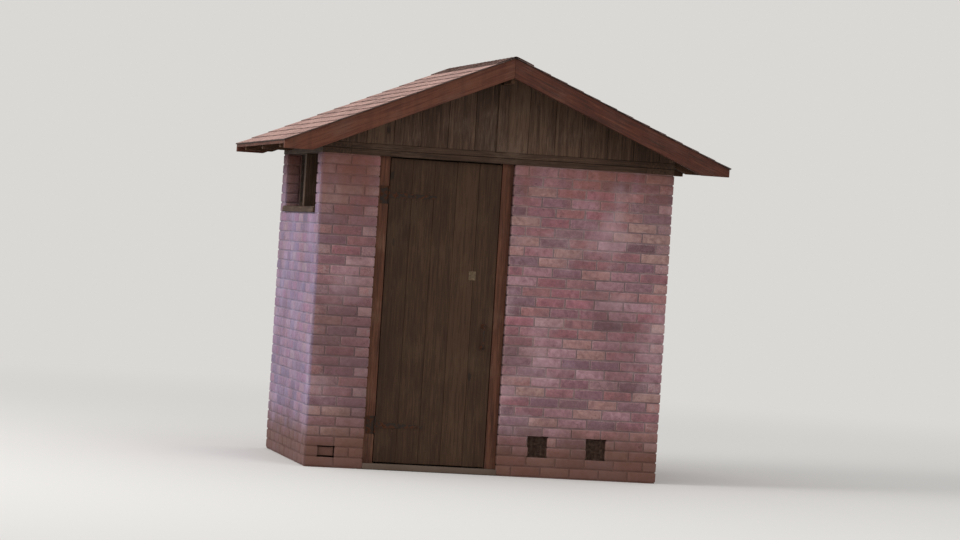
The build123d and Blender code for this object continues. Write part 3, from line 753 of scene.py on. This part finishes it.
plates = Pile()
plate_nodes = [f"plate_{name}" for name in ("left", "right", "front", "rear")]
for name in plate_nodes:
    low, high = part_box(name)
    grain = ALONG_Y if name in plate_nodes[:2] else ALONG_X
    seam = (low.z + high.z) / 2
    for foot, head in ((low.z, seam - PLANK_SEAM), (seam + PLANK_SEAM, high.z)):
        saw(plates, rectangle(low.x, high.x, foot, head), low.y, high.y, grain, edge=0.003, bend=0.0006)
soften(plates.make("wall_plates", "hut", brown_pine, "timber", *plate_nodes))

# Rafters and ridge board. Pine, cut plumb against the ridge board, notched over the plates, with clipped
# tails under the eaves; the ridge board runs out to the barge boards.
PITCH = radians(23)
SLOPE = tan(PITCH)
NOTCH = 0.025
RAFTER_DEPTH = 0.102
TAIL_PLUMB = 0.030
TAIL_SETBACK = 0.020

plate_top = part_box("plate_left")[1].z
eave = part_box("roof_boards_right")[1].x
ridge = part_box("ridge_board")


def rafter_bottom(reach):
    """Height of the rafters' underside at a distance from the ridge line."""
    return plate_top - NOTCH + (RIGHT - reach) * SLOPE


def rafter_top(reach):
    """Height of the rafters' upper edge."""
    return rafter_bottom(reach) + RAFTER_DEPTH / cos(PITCH)


def clipped_end(reach):
    """Corners of a foot: an upright face under the top edge, then a level cut."""
    level = rafter_top(reach) - TAIL_PLUMB
    inner = RIGHT + (rafter_bottom(RIGHT) - level) / SLOPE
    return [(reach, rafter_top(reach)), (reach, level), (inner, level)]


def handed(corners, out):
    """An outline that is given for the right slope, or its mirror image on the left."""
    return [(out * reach, z) for reach, z in corners]


roof_pine = stained_wood("sawn_roof_pine", "352218", "4C3423", "614531", "725C4C", 0.4, 0.9)
rafters, beam = Pile(), Pile()
saw(beam, rectangle(ridge[0].x, ridge[1].x, ridge[0].z, ridge[1].z), ridge[0].y, ridge[1].y, ALONG_Y)
rafter_nodes = [f"rafter_{side}_{row}" for side in ("left", "right") for row in ("front", "middle", "rear")]
for name in rafter_nodes:
    low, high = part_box(name)
    out = -1 if "left" in name else 1
    corners = [
        (ridge[1].x, rafter_bottom(ridge[1].x)), (ridge[1].x, rafter_top(ridge[1].x)),
        *clipped_end(eave - TAIL_SETBACK),
        (RIGHT, rafter_bottom(RIGHT)), (RIGHT, plate_top), (RIGHT - NOTCH / SLOPE, plate_top),
    ]
    saw(rafters, handed(corners, out), low.y, high.y, (out, 0, -SLOPE), edge=0.0025)
soften(rafters.make("rafters", "hut", roof_pine, "timber", *rafter_nodes))
soften(beam.make("ridge_beam", "hut", roof_pine, "timber", "ridge_board"))

# Roof boards. Pine boards 152 mm wide laid along the roof over the rafters; their lower faces and chamfered
# joints show under the eaves. The last board along each eave is in red-brown oil paint.
DECK_BOARD = 0.152
DECK_THICKNESS = 0.022
DECK_JOINT = 0.0005

barge_paint = stained_wood("red_brown_paint_on_pine", "371C13", "4F271A", "5F3625", "63493E", 0.4, 0.7)
deck, eave_boards = Pile(), Pile()
deck_y = [corner.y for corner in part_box("roof_boards_left")]


def deck_top(reach):
    """Height of the upper face of the roof boards."""
    return rafter_top(reach) + DECK_THICKNESS / cos(PITCH)


board_step = DECK_BOARD * cos(PITCH)
seams = [i * board_step for i in range(int(eave / board_step) + 1)] + [eave]
for out in (-1, 1):
    for start, end in zip(seams, seams[1:]):
        low = start + DECK_JOINT
        high = end if end == eave else end - DECK_JOINT
        under, over = [[(reach, level(reach)) for reach in (low, high)] for level in (rafter_top, deck_top)]
        boards = eave_boards if end == eave else deck
        saw(boards, handed(under + over[::-1], out), *deck_y, ALONG_Y, edge=0.003, bend=0.0004)
soften(deck.make("roof_deck", "hut", roof_pine, "timber", "roof_boards_left", "roof_boards_right"))
soften(eave_boards.make("eave_boards", "hut", barge_paint, "barge_paint"))

# Gable boards. Upright pine boards, in a brown stain that has faded, nailed to the plates and the end
# rafters with open joints, and a batten over the middle joint. The ridge board comes out between the two
# in the middle.
GABLE_BOARD = 0.184
GABLE_THICKNESS = 0.022
GABLE_PART = 0.12
BOARD_GAP = 0.0022
ROOF_CLEARANCE = 0.001
RIDGE_CLEARANCE = 0.001
BATTEN_HALF = 0.035
BATTEN_LAP = 0.003
BATTEN_NAILS = 4
BATTEN_NAIL_BESIDE, BATTEN_NAIL_INSET = 0.018, 0.03
NAIL_RADIUS, NAIL_HEIGHT = 0.0042, 0.0014
NAIL_INSET, NAIL_UP = 0.03, 0.022
NAIL_DROPS = (0.03, 0.1)
NARROW = 0.1
NAIL_LEAST_UP, NAIL_LEAST_OUT = 0.02, 0.04


def dome(pile, centre, facing, radius, height, sides=8, rings=3):
    """A low round head, such as a nail's or a bolt's, standing out from a face."""
    centre, facing = Vector(centre), Vector(facing).normalized()
    one = facing.orthogonal().normalized()
    two = facing.cross(one)
    points, faces = [], []
    for ring in range(rings):
        turn = ring / rings * pi / 2
        for i in range(sides):
            angle = 2 * pi * i / sides
            out = one * cos(angle) + two * sin(angle)
            points.append(centre + out * radius * cos(turn) + facing * height * sin(turn))
    points.append(centre + facing * height)
    for ring in range(rings - 1):
        a, b = ring * sides, (ring + 1) * sides
        faces += [[a + i, a + (i + 1) % sides, b + (i + 1) % sides, b + i] for i in range(sides)]
    last = (rings - 1) * sides
    faces += [[last + i, last + (i + 1) % sides, rings * sides] for i in range(sides)]
    pile.lay(points, faces + [list(range(sides))[::-1]], dice.random())


def nail(pile, x, face, z, out, sunk):
    """Drives one nail into a face that looks along Y."""
    dome(pile, (x, face - out * sunk, z), (0, out, 0), NAIL_RADIUS, NAIL_HEIGHT)


gable_pine = stained_wood("faded_stain_on_gable_pine", "34241A", "483428", "5C4636", "746052", 0.45)
rusty = mottled(
    "rusted_nails", 300, 3, ((0.35, "2A1C16"), (0.5, "4A2C1E"), (0.65, "6B4028")),
    Metallic=0.3, Roughness=0.8,
)
nails = Pile()
notch_low, notch_half = ridge[0].z - RIDGE_CLEARANCE, ridge[1].x + RIDGE_CLEARANCE
for name, out in (("front", -1), ("rear", 1)):
    boards, batten = Pile(), Pile()
    batten_face, inner_face = [corner.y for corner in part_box(f"gable_{name}")][::-out]
    outer_face = inner_face + out * GABLE_THICKNESS
    for hand in (-1, 1):
        for i in range(int(RIGHT / GABLE_BOARD) + 1):
            start = i * GABLE_BOARD + BOARD_GAP / 2
            end = min((i + 1) * GABLE_BOARD - BOARD_GAP / 2, RIGHT)
            highest = start if i else notch_half
            tops = [(reach, rafter_top(reach) - ROOF_CLEARANCE) for reach in (end, highest)]
            notch = [] if i else [(notch_half, notch_low), (start, notch_low)]
            outline = handed([(start, plate_top), (end, plate_top), *tops, *notch], hand)
            span = sorted((inner_face, outer_face))
            saw(boards, outline, *span, UPRIGHT, edge=0.0024, every=GABLE_PART)
            pair = (start + NAIL_INSET, end - NAIL_INSET)
            for at in pair if end - start > NARROW else ((start + end) / 2,):
                for z in (plate_top + NAIL_UP, *[rafter_top(at) - drop for drop in NAIL_DROPS]):
                    if z - plate_top > NAIL_LEAST_UP and at > NAIL_LEAST_OUT:
                        nail(nails, hand * at, outer_face, z, out, sunk=0.0008)
    lap = sorted((outer_face - out * BATTEN_LAP, batten_face))
    outline = rectangle(-BATTEN_HALF, BATTEN_HALF, plate_top, notch_low)
    saw(batten, outline, *lap, UPRIGHT, edge=0.003, every=GABLE_PART)
    for i in range(BATTEN_NAILS):
        rise = (notch_low - plate_top - 2 * BATTEN_NAIL_INSET) / (BATTEN_NAILS - 1)
        z = plate_top + BATTEN_NAIL_INSET + i * rise
        nail(nails, BATTEN_NAIL_BESIDE * (-1) ** i, batten_face, z, out, sunk=0.0012)
    soften(boards.make(f"gable_boards_{name}", "hut", gable_pine, "timber", f"gable_{name}"))
    soften(batten.make(f"gable_batten_{name}", "hut", gable_pine, "timber"))

# Barge boards. Planed pine, 38 mm thick, in the same red-brown paint, mitred at the top of the gable and
# clipped at the eaves, nailed to the ends of the roof boards. The paint is chalky and worn thin in places.
MITRE_GAP = 0.0004
BARGE_NAILS = 7
BARGE_NAIL_INSET = 0.06
BARGE_NAIL_DROPS = (0.03, 0.075)

for end, facing in (("front", -1), ("rear", 1)):
    barges = Pile()
    nodes = [f"barge_{end}_left", f"barge_{end}_right"]
    low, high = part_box(nodes[0])
    for out in (-1, 1):
        mitre = [(MITRE_GAP, rafter_bottom(0)), (MITRE_GAP, deck_top(0))]
        corners = [*mitre, (eave, deck_top(eave)), *clipped_end(eave)[1:]]
        saw(barges, handed(corners, out), low.y, high.y, (out, 0, -SLOPE), edge=0.003, bend=0.0009)
        for i in range(BARGE_NAILS):
            reach = BARGE_NAIL_INSET + i * (eave - 2 * BARGE_NAIL_INSET) / (BARGE_NAILS - 1)
            for drop in BARGE_NAIL_DROPS:
                face = high.y if facing > 0 else low.y
                nail(nails, out * reach, face, deck_top(reach) - drop, facing, sunk=0.001)
    soften(barges.make(f"barge_boards_{end}", "hut", barge_paint, "barge_paint", *nodes))

# Shingles. Strip shingles of felt soaked in asphalt, with mineral granules rolled in, three tabs to a strip,
# each course laid half a tab over the one below, on black felt. The granules have faded to a dusty pink-grey.
TAB = 0.305
SLOT = 0.009
EXPOSED = 0.127
TAB_LAP = 0.055
TAB_THICKNESS = 0.0042
TAB_FALL = 0.004
TAB_CURL, TAB_WAVES = 0.0011, (5, 7)
TAB_ROWS = (0.02, 0.07)
TAB_UNEVEN = 0.0025
TAB_INSET = 0.0008
STRIP_BODY = 0.0018
STRIP_BACK, STRIP_INSET = 0.004, 0.003
STRIP_SLIDE = 0.012
TOP_COURSE_END = 0.012
BUTT_HEIGHT = 0.0088
FELT_THICKNESS = 0.002
FELT_BACK, FELT_INSET = 0.003, 0.001
BEDDING = 0.0004
CAP_REACH = 0.125
SLIVER = 0.02
EAVE_INSET = 0.004

granules, add, place = new_finish("asphalt_shingle_granules")
tint = add("Attribute", attribute_name="tint").outputs["Fac"]
# Granules of 1 to 2 mm in five shades, and each tab a little darker or paler than the next.
grit = add("TexVoronoi", Vector=place, Scale=620)
pick = add("SeparateColor", grit.outputs["Color"]).outputs["Red"]
stone = add("ValToRGB", pick, stops=(
    (0.0, "A78880"), (0.3, "C49F96"), (0.55, "D8B3A9"), (0.8, "B6968F"), (1.0, "E8C8BD"),
))
cast = add("ValToRGB", tint, stops=((0.0, "CFC5C3"), (0.35, "E6DEDC"), (0.8, "F3EAE7"), (1.0, "FFF9F5")))
shade = add("Mix RGBA", 1.0, stone, cast, blend_type="MULTIPLY")
# They have faded in patches, and rotted needles have left brown dirt.
faded = add("MapRange", add("TexNoise", Vector=place, Scale=6, Detail=7), 0.4, 0.75, 0, 0.5)
dirty = add("MapRange", add("TexNoise", Vector=place, Scale=2.3, Detail=8), 0.52, 0.8, 0, 0.7)
# Granules are gone along the rims, where the black asphalt shows, and in small spots.
rim = add("SeparateXYZ", add("Attribute", attribute_name="grain").outputs["Vector"]).outputs["X"]
fray = add("TexNoise", Vector=place, Scale=75, Detail=5, Roughness=0.65)
bare = add("MapRange", add("Math MULTIPLY_ADD", fray, -0.022, rim), -0.0065, -0.012, 0, 0.85)
lost = add("MapRange", add("TexNoise", Vector=place, Scale=160, Detail=3), 0.64, 0.7, 0, 0.55)
# Rain has drawn darker streaks down the slope.
run = add("VectorMath MULTIPLY", place, (1.3, 24, 1.3))
streaked = add("MapRange", add("TexNoise", Vector=run, Scale=1, Detail=5), 0.5, 0.75, 0, 0.35)
for mask, colour in (
    (faded, "937670"), (dirty, "4F4238"), (bare, "332B28"), (lost, "4A3E3A"), (streaked, "6A544D"),
):
    shade = add("Mix RGBA", mask, shade, colour)
bed = add("Bump", Height=grit, Strength=0.6, Distance=0.001)
skin = add("BsdfPrincipled", BaseColor=shade, Roughness=0.92, SpecularIORLevel=0.3, Normal=bed)
add("OutputMaterial", skin)

felt_black, add, place = new_finish("asphalt_felt")
patch = add("TexNoise", Vector=place, Scale=90, Detail=5)
shade = add("ValToRGB", patch, stops=((0.35, "1E1B1A"), (0.5, "2A2624"), (0.7, "3A3431")))
fuzz = add("Bump", Height=patch, Strength=0.3, Distance=0.001)
add("OutputMaterial", add("BsdfPrincipled", BaseColor=shade, Roughness=0.85, Normal=fuzz))

drip, roof_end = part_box("shingles_right")[1].xy
apex = deck_top(0)


def slab_over(pile, across, along, surface, thickness, tint):
    """A thin solid under a surface, given as a point and its outward direction for each grid place. Its
    grain holds the distance from the rim."""
    places, faces = rows_over(len(across) - 1, len(along) - 1, 1)
    points, rims = [], []
    for i, j, over in places:
        a, b = across[i], along[j]
        at, out = surface(a, b)
        points.append(at if over else at - out * thickness)
        inward = min(a - across[0], across[-1] - a, b - along[0], along[-1] - b)
        rims.append((inward if over else -2 * thickness, 0, 0))
    corner, out = surface(across[0], along[0])
    normal = (surface(across[1], along[0])[0] - corner).cross(surface(across[0], along[1])[0] - corner)
    pile.lay(points, faces if normal.dot(out) > 0 else [face[::-1] for face in faces], tint, rims)


def on_slope(out, down, y, up):
    """A point over the roof boards: down the slope from the ridge, along it, and square above them. With it
    goes the slope's outward direction."""
    spot = (out * (down * cos(PITCH) + up * sin(PITCH)), y, apex - down * sin(PITCH) + up * cos(PITCH))
    return Vector(spot), Vector((out * sin(PITCH), 0, cos(PITCH)))


felts = Pile()
eave_run = drip / cos(PITCH) - EAVE_INSET
for out in (-1, 1):
    down, ends = np.linspace(0, eave_run - FELT_BACK, 6), (FELT_INSET - roof_end, roof_end - FELT_INSET)
    slab_over(felts, down, ends, lambda down, y: on_slope(out, down, y, FELT_THICKNESS), FELT_THICKNESS, 0.5)
felts.make("roofing_felt", "hut", felt_black, "shingle")

courses = round((drip - CAP_REACH) / (EXPOSED * cos(PITCH)) - 0.5)
for name, out in SIDES:
    tabs = Pile()
    for course in range(courses + 1):
        butt = eave_run - course * EXPOSED
        top_end = max(TOP_COURSE_END, butt - EXPOSED - TAB_LAP)
        shift = dice.uniform(0, 40)

        def tab_face(back, y, lift=0.0):
            """A point on a tab, so far back from its butt, and the outward direction."""
            rise = BUTT_HEIGHT - TAB_FALL * back / EXPOSED + lift
            at = Vector((back * TAB_WAVES[0], y * TAB_WAVES[1], shift))
            rise += noise.noise(at) * TAB_CURL * max(0, 1 - back / EXPOSED)
            return on_slope(out, butt - back, y, max(rise, FELT_THICKNESS + BEDDING))

        # The solid upper part of the strip, seen through the slots.
        body = np.linspace(STRIP_BACK, butt - top_end, 4).tolist()
        ends = np.linspace(STRIP_INSET - roof_end, roof_end - STRIP_INSET, 9).tolist()
        under_tabs = partial(tab_face, lift=-TAB_THICKNESS)
        slab_over(tabs, body, ends, under_tabs, STRIP_BODY, dice.random())
        first = -roof_end - (course % 2) * TAB / 2 - dice.uniform(0, STRIP_SLIDE)
        while first < roof_end - SLIVER:
            low = max(first + SLOT / 2, TAB_INSET - roof_end)
            high = min(first + TAB - SLOT / 2, roof_end - TAB_INSET)
            if high - low > SLIVER:
                back = [dice.uniform(0, TAB_UNEVEN), *TAB_ROWS, butt - top_end]
                ends = np.linspace(low, high, 7).tolist()
                shift = dice.uniform(0, 40)
                slab_over(tabs, back, ends, tab_face, TAB_THICKNESS, dice.random())
            first += TAB
    tabs.make(f"shingle_courses_{name}", "hut", granules, "shingle", f"shingles_{name}")

# Ridge cap. Single tabs of the same shingles bent over the ridge and nailed, each lapped over the one behind
# it, from the rear gable to the front.
CAP_FOLDS = (0.004, 0.01, 0.02, 0.04, 0.08, CAP_REACH)
CAP_TRIM = 0.998
CAP_BEND = 0.008
CAP_TOP = 0.0146
CAP_FALL = 0.0035
CAP_CURL, CAP_WAVES = 0.0008, (9, 6)
CAP_THICKNESS = 0.0036
CAP_LAP = 0.04
CAP_LEAN = 0.002
CAP_INSET = 0.002
CAP_ROWS = (0.0, 0.03, 0.08)
REAR_INSET = 0.001

caps = Pile()
cap_count = round(2 * roof_end / EXPOSED)
cap_step = (2 * roof_end - 2 * CAP_INSET) / cap_count
across = [side * fold * CAP_TRIM for side, folds in ((-1, CAP_FOLDS[::-1]), (1, CAP_FOLDS)) for fold in folds]
for i in range(cap_count):
    butt_y = roof_end - CAP_INSET - (i + 1) * cap_step
    lean_out = dice.uniform(-CAP_LEAN, CAP_LEAN)
    shift = dice.uniform(0, 40)

    def cap_face(x, back):
        """A point on one bent tab, so far back from its butt, and the outward direction."""
        lift = CAP_TOP - CAP_FALL * back / cap_step
        at = Vector((x * CAP_WAVES[0], back * CAP_WAVES[1], shift))
        lift += (noise.noise(at) - 1) * CAP_CURL
        bend = sqrt(x * x + CAP_BEND * CAP_BEND)
        spot = (x + lean_out * abs(x) / CAP_REACH, butt_y + back, apex + lift / cos(PITCH) - SLOPE * bend)
        return Vector(spot), Vector((SLOPE * x / bend, 0, 1)).normalized()

    back = [*CAP_ROWS, min(cap_step + CAP_LAP, roof_end - REAR_INSET - butt_y)]
    slab_over(caps, across, back, cap_face, CAP_THICKNESS, dice.random())
caps.make("ridge_caps", "hut", granules, "shingle", "ridge_cap")

# Door frame. Two jambs of pine in old red-brown paint, rebated to take the door, fixed to the reveals of the
# brickwork between the floor and the lintel plate.
JAMB_WIDTH = 0.076
STOP_PROJECTION = 0.014
STOP_BACK = 0.027
JAMB_NAILS = 4
JAMB_NAIL_IN, JAMB_NAIL_UP, JAMB_NAIL_STEP = 0.026, 0.25, 0.53

jamb_paint = stained_wood("old_paint_on_jamb_pine", "3F2419", "583525", "6C4331", "7E604E", 0.35, 0.75)
jambs = Pile()
for name, out in (("left", 1), ("right", -1)):
    low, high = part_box(f"door_jamb_{name}")
    wall_line = low.x if out > 0 else high.x
    face_line = wall_line + out * JAMB_WIDTH
    stop_line = face_line + out * STOP_PROJECTION
    outline = [
        (wall_line, low.y), (face_line, low.y), (face_line, low.y + STOP_BACK),
        (stop_line, low.y + STOP_BACK), (stop_line, high.y), (wall_line, high.y),
    ]
    saw(jambs, outline, low.z, high.z, UPRIGHT, axis=2, edge=0.0018, bend=0.0006)
    for i in range(JAMB_NAILS):
        nail(nails, wall_line + out * JAMB_NAIL_IN, low.y, JAMB_NAIL_UP + i * JAMB_NAIL_STEP, -1, sunk=0.0007)
soften(jambs.make("door_jambs", "hut", jamb_paint, "barge_paint", "door_jamb_left", "door_jamb_right"))
nails.make("nail_heads", "hut", rusty, "iron", smooth=True)

# Door. Five upright pine boards, tongued and chamfered along their joints, stained very dark, nailed to two
# ledges and a brace on the inside, with the nails clinched. The stain is rubbed thin in patches.
LEAF_BOARDS = 5
LEAF_JOINT = 0.0006
LEAF_UNEVEN = 0.0015
TONGUE = 0.007
TONGUE_SHORT = 0.01
BRACE_FOOT = 0.1236
LEAF_NAIL_SHARES = (0.22, 0.78)
LEAF_NAIL_INSET = 0.035
CLINCH = (0.003, 0.001)
CLINCH_SHIFT = (0.004, 0.003)

door_wood = stained_wood("dark_stained_door_pine", "2E1C11", "3A2617", "463020", "54402E", 0.35, 0.75)
leaf, ledges, brace, door_nails = Pile(), Pile(), Pile(), Pile()
leaf_low, leaf_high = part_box("door_leaf")
width = (leaf_high.x - leaf_low.x) / LEAF_BOARDS
middle_y = (leaf_low.y + leaf_high.y) / 2
for i in range(LEAF_BOARDS):
    start = leaf_low.x + i * width + (LEAF_JOINT if i else 0)
    end = leaf_low.x + (i + 1) * width - (LEAF_JOINT if i < LEAF_BOARDS - 1 else 0)
    foot, head = leaf_low.z + dice.uniform(0, LEAF_UNEVEN), leaf_high.z - dice.uniform(0, LEAF_UNEVEN)
    board = rectangle(start, end, foot, head)
    saw(leaf, board, leaf_low.y, leaf_high.y, UPRIGHT, edge=0.0024, bend=0.0005)
    if i:
        foot, head = leaf_low.z + TONGUE_SHORT, leaf_high.z - TONGUE_SHORT
        tongue = rectangle(start - TONGUE, start + TONGUE, foot, head)
        saw(leaf, tongue, middle_y - TONGUE / 2, middle_y + TONGUE / 2, UPRIGHT, edge=0.0005, bend=0)
ledge_boxes = [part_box(f"door_ledge_{name}") for name in ("bottom", "top")]
for low, high in ledge_boxes:
    saw(ledges, rectangle(low.x, high.x, low.z, high.z), low.y, high.y, ALONG_X, edge=0.005, bend=0.0003)
foot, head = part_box("door_brace")
outline = [(foot.x, foot.z), (foot.x + BRACE_FOOT, foot.z), (head.x, head.z), (head.x - BRACE_FOOT, head.z)]
grain = (head.x - foot.x - BRACE_FOOT, 0, head.z - foot.z)
saw(brace, outline, foot.y, head.y, grain, edge=0.003, bend=0.0003)
for x in [leaf_low.x + (i + share) * width for i in range(LEAF_BOARDS) for share in LEAF_NAIL_SHARES]:
    for low, high in ledge_boxes:
        if low.x < x < high.x:
            for z in (low.z + LEAF_NAIL_INSET, high.z - LEAF_NAIL_INSET):
                nail(door_nails, x, leaf_low.y, z, -1, sunk=0.0006)
                spot = (x + CLINCH_SHIFT[0], high.y - 0.0006, z - CLINCH_SHIFT[1])
                dome(door_nails, spot, (0, 1, 0), *CLINCH)
soften(leaf.make("door_boards", "door", door_wood, "door_stain", "door_leaf"))
soften(ledges.make("door_ledges", "door", door_wood, "door_stain", "door_ledge_bottom", "door_ledge_top"))
soften(brace.make("door_brace_board", "door", door_wood, "door_stain", "door_brace"))
door_nails.make("door_nail_heads", "door", rusty, "iron", smooth=True)

# Hinges and pull. Forged strap hinges and a bent rod handle in brown-black paint, with rust coming through,
# held by round-headed bolts and screws. They are the frame's own solids, with their edges eased.
EASED, EASED_FROM = 0.0006, radians(40)
STRAP_THICKNESS = 0.003
STRAP_BOLT_SHARES = (0.2, 0.52, 0.86)
KNUCKLE_RADIUS = 0.0065
FLANGE_SCREW_SPOTS = ((0.038, 0.044), (0.046, 0), (0.038, -0.044))
PULL_FOOT_RADIUS, PULL_FOOT_THICKNESS = 0.017, 0.004
PULL_SCREW_BESIDE = 0.011
HEAD_SUNK = 0.0003
BOLT_HEAD = (0.0075, 0.0042, 20, 5)
FLANGE_SCREW_HEAD = (0.0045, 0.0016, 16, 4)
PULL_SCREW_HEAD = (0.0032, 0.0012, 12, 3)

iron, add, place = new_finish("black_painted_iron")
patch = add("TexNoise", Vector=place, Scale=38, Detail=7)
fine = add("TexNoise", Vector=place, Scale=420, Detail=3)
mask = add("Math MULTIPLY_ADD", fine, 0.25, patch)
rusting = add("MapRange", mask, 0.57, 0.74, 0, 0.85)
rust = add("ValToRGB", fine, stops=((0.35, "2F1A11"), (0.5, "482818"), (0.65, "613820")))
shade = add("Mix RGBA", rusting, "2A1F18", rust)
gloss = add("MapRange", rusting, 0, 0.85, 0.6, 0.9)
scale = add("Bump", Height=mask, Strength=0.35, Distance=0.0008)
skin = add("BsdfPrincipled", BaseColor=shade, Roughness=gloss, SpecularIORLevel=0.2, Normal=scale)
add("OutputMaterial", skin)

for name in ("hinge_flange_bottom", "hinge_flange_top", "hinge_strap_bottom", "hinge_strap_top", "door_pull"):
    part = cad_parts[name]
    part.data.materials.clear()
    part.data.materials.append(iron)
    eased = part.modifiers.new("eased_edges", "BEVEL")
    eased.width = EASED
    eased.segments = 2
    eased.angle_limit = EASED_FROM

strap_bolts, flange_screws = Pile(), Pile()
for name in ("bottom", "top"):
    strap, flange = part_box(f"hinge_strap_{name}"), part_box(f"hinge_flange_{name}")
    z = (strap[0].z + strap[1].z) / 2
    y = leaf_low.y - STRAP_THICKNESS + HEAD_SUNK
    for share in STRAP_BOLT_SHARES:
        x = strap[0].x + share * (strap[1].x - strap[0].x)
        dome(strap_bolts, (x, y, z), (0, -1, 0), *BOLT_HEAD)
    for x_back, up in FLANGE_SCREW_SPOTS:
        x = flange[1].x - KNUCKLE_RADIUS - x_back
        dome(flange_screws, (x, y, z + up), (0, -1, 0), *FLANGE_SCREW_HEAD)
low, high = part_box("door_pull")
y = leaf_low.y - PULL_FOOT_THICKNESS + HEAD_SUNK
for z in (low.z + PULL_FOOT_RADIUS, high.z - PULL_FOOT_RADIUS):
    for beside in (-PULL_SCREW_BESIDE, PULL_SCREW_BESIDE):
        dome(strap_bolts, ((low.x + high.x) / 2 + beside, y, z), (0, -1, 0), *PULL_SCREW_HEAD)
strap_bolts.make("hinge_bolts", "door", iron, "iron", smooth=True)
flange_screws.make("flange_screws", "hut", iron, "iron", smooth=True)

# Plate. A small bare plate of rolled brass, dull and brown, with rounded edges, screwed to the door at chest
# height with two small screws that have rusted.
PLATE_MIDDLE = (-0.135, 1.34)
PLATE_HALF = (0.024, 0.030)
PLATE_FACE, PLATE_SUNK = 0.0016, 0.0002
PLATE_EDGE, PLATE_CUTS = 0.0007, (4, 1, 4)
PLATE_SCREW_UP = 0.023
PLATE_SCREW_HEAD, PLATE_SCREW_SUNK = (0.0028, 0.0012, 12, 3), 0.0001

brass = mottled(
    "dull_brown_brass", 60, 6, ((0.3, "4C3D2C"), (0.55, "5F4D38"), (0.75, "736046")),
    rough=(0.7, 0.45), Metallic=0.4,
)
plate, plate_screws = Pile(), Pile()
x, z = PLATE_MIDDLE
low = (x - PLATE_HALF[0], leaf_low.y - PLATE_FACE, z - PLATE_HALF[1])
high = (x + PLATE_HALF[0], leaf_low.y + PLATE_SUNK, z + PLATE_HALF[1])
plate.lay(*block(low, high, PLATE_EDGE, PLATE_CUTS), 0.5)
for up in (-PLATE_SCREW_UP, PLATE_SCREW_UP):
    spot = (x, leaf_low.y - PLATE_FACE + PLATE_SCREW_SUNK, z + up)
    dome(plate_screws, spot, (0, -1, 0), *PLATE_SCREW_HEAD)
plate.make("door_plate", "door", brass, "wire")
plate_screws.make("door_plate_screws", "door", rusty, "iron", smooth=True)
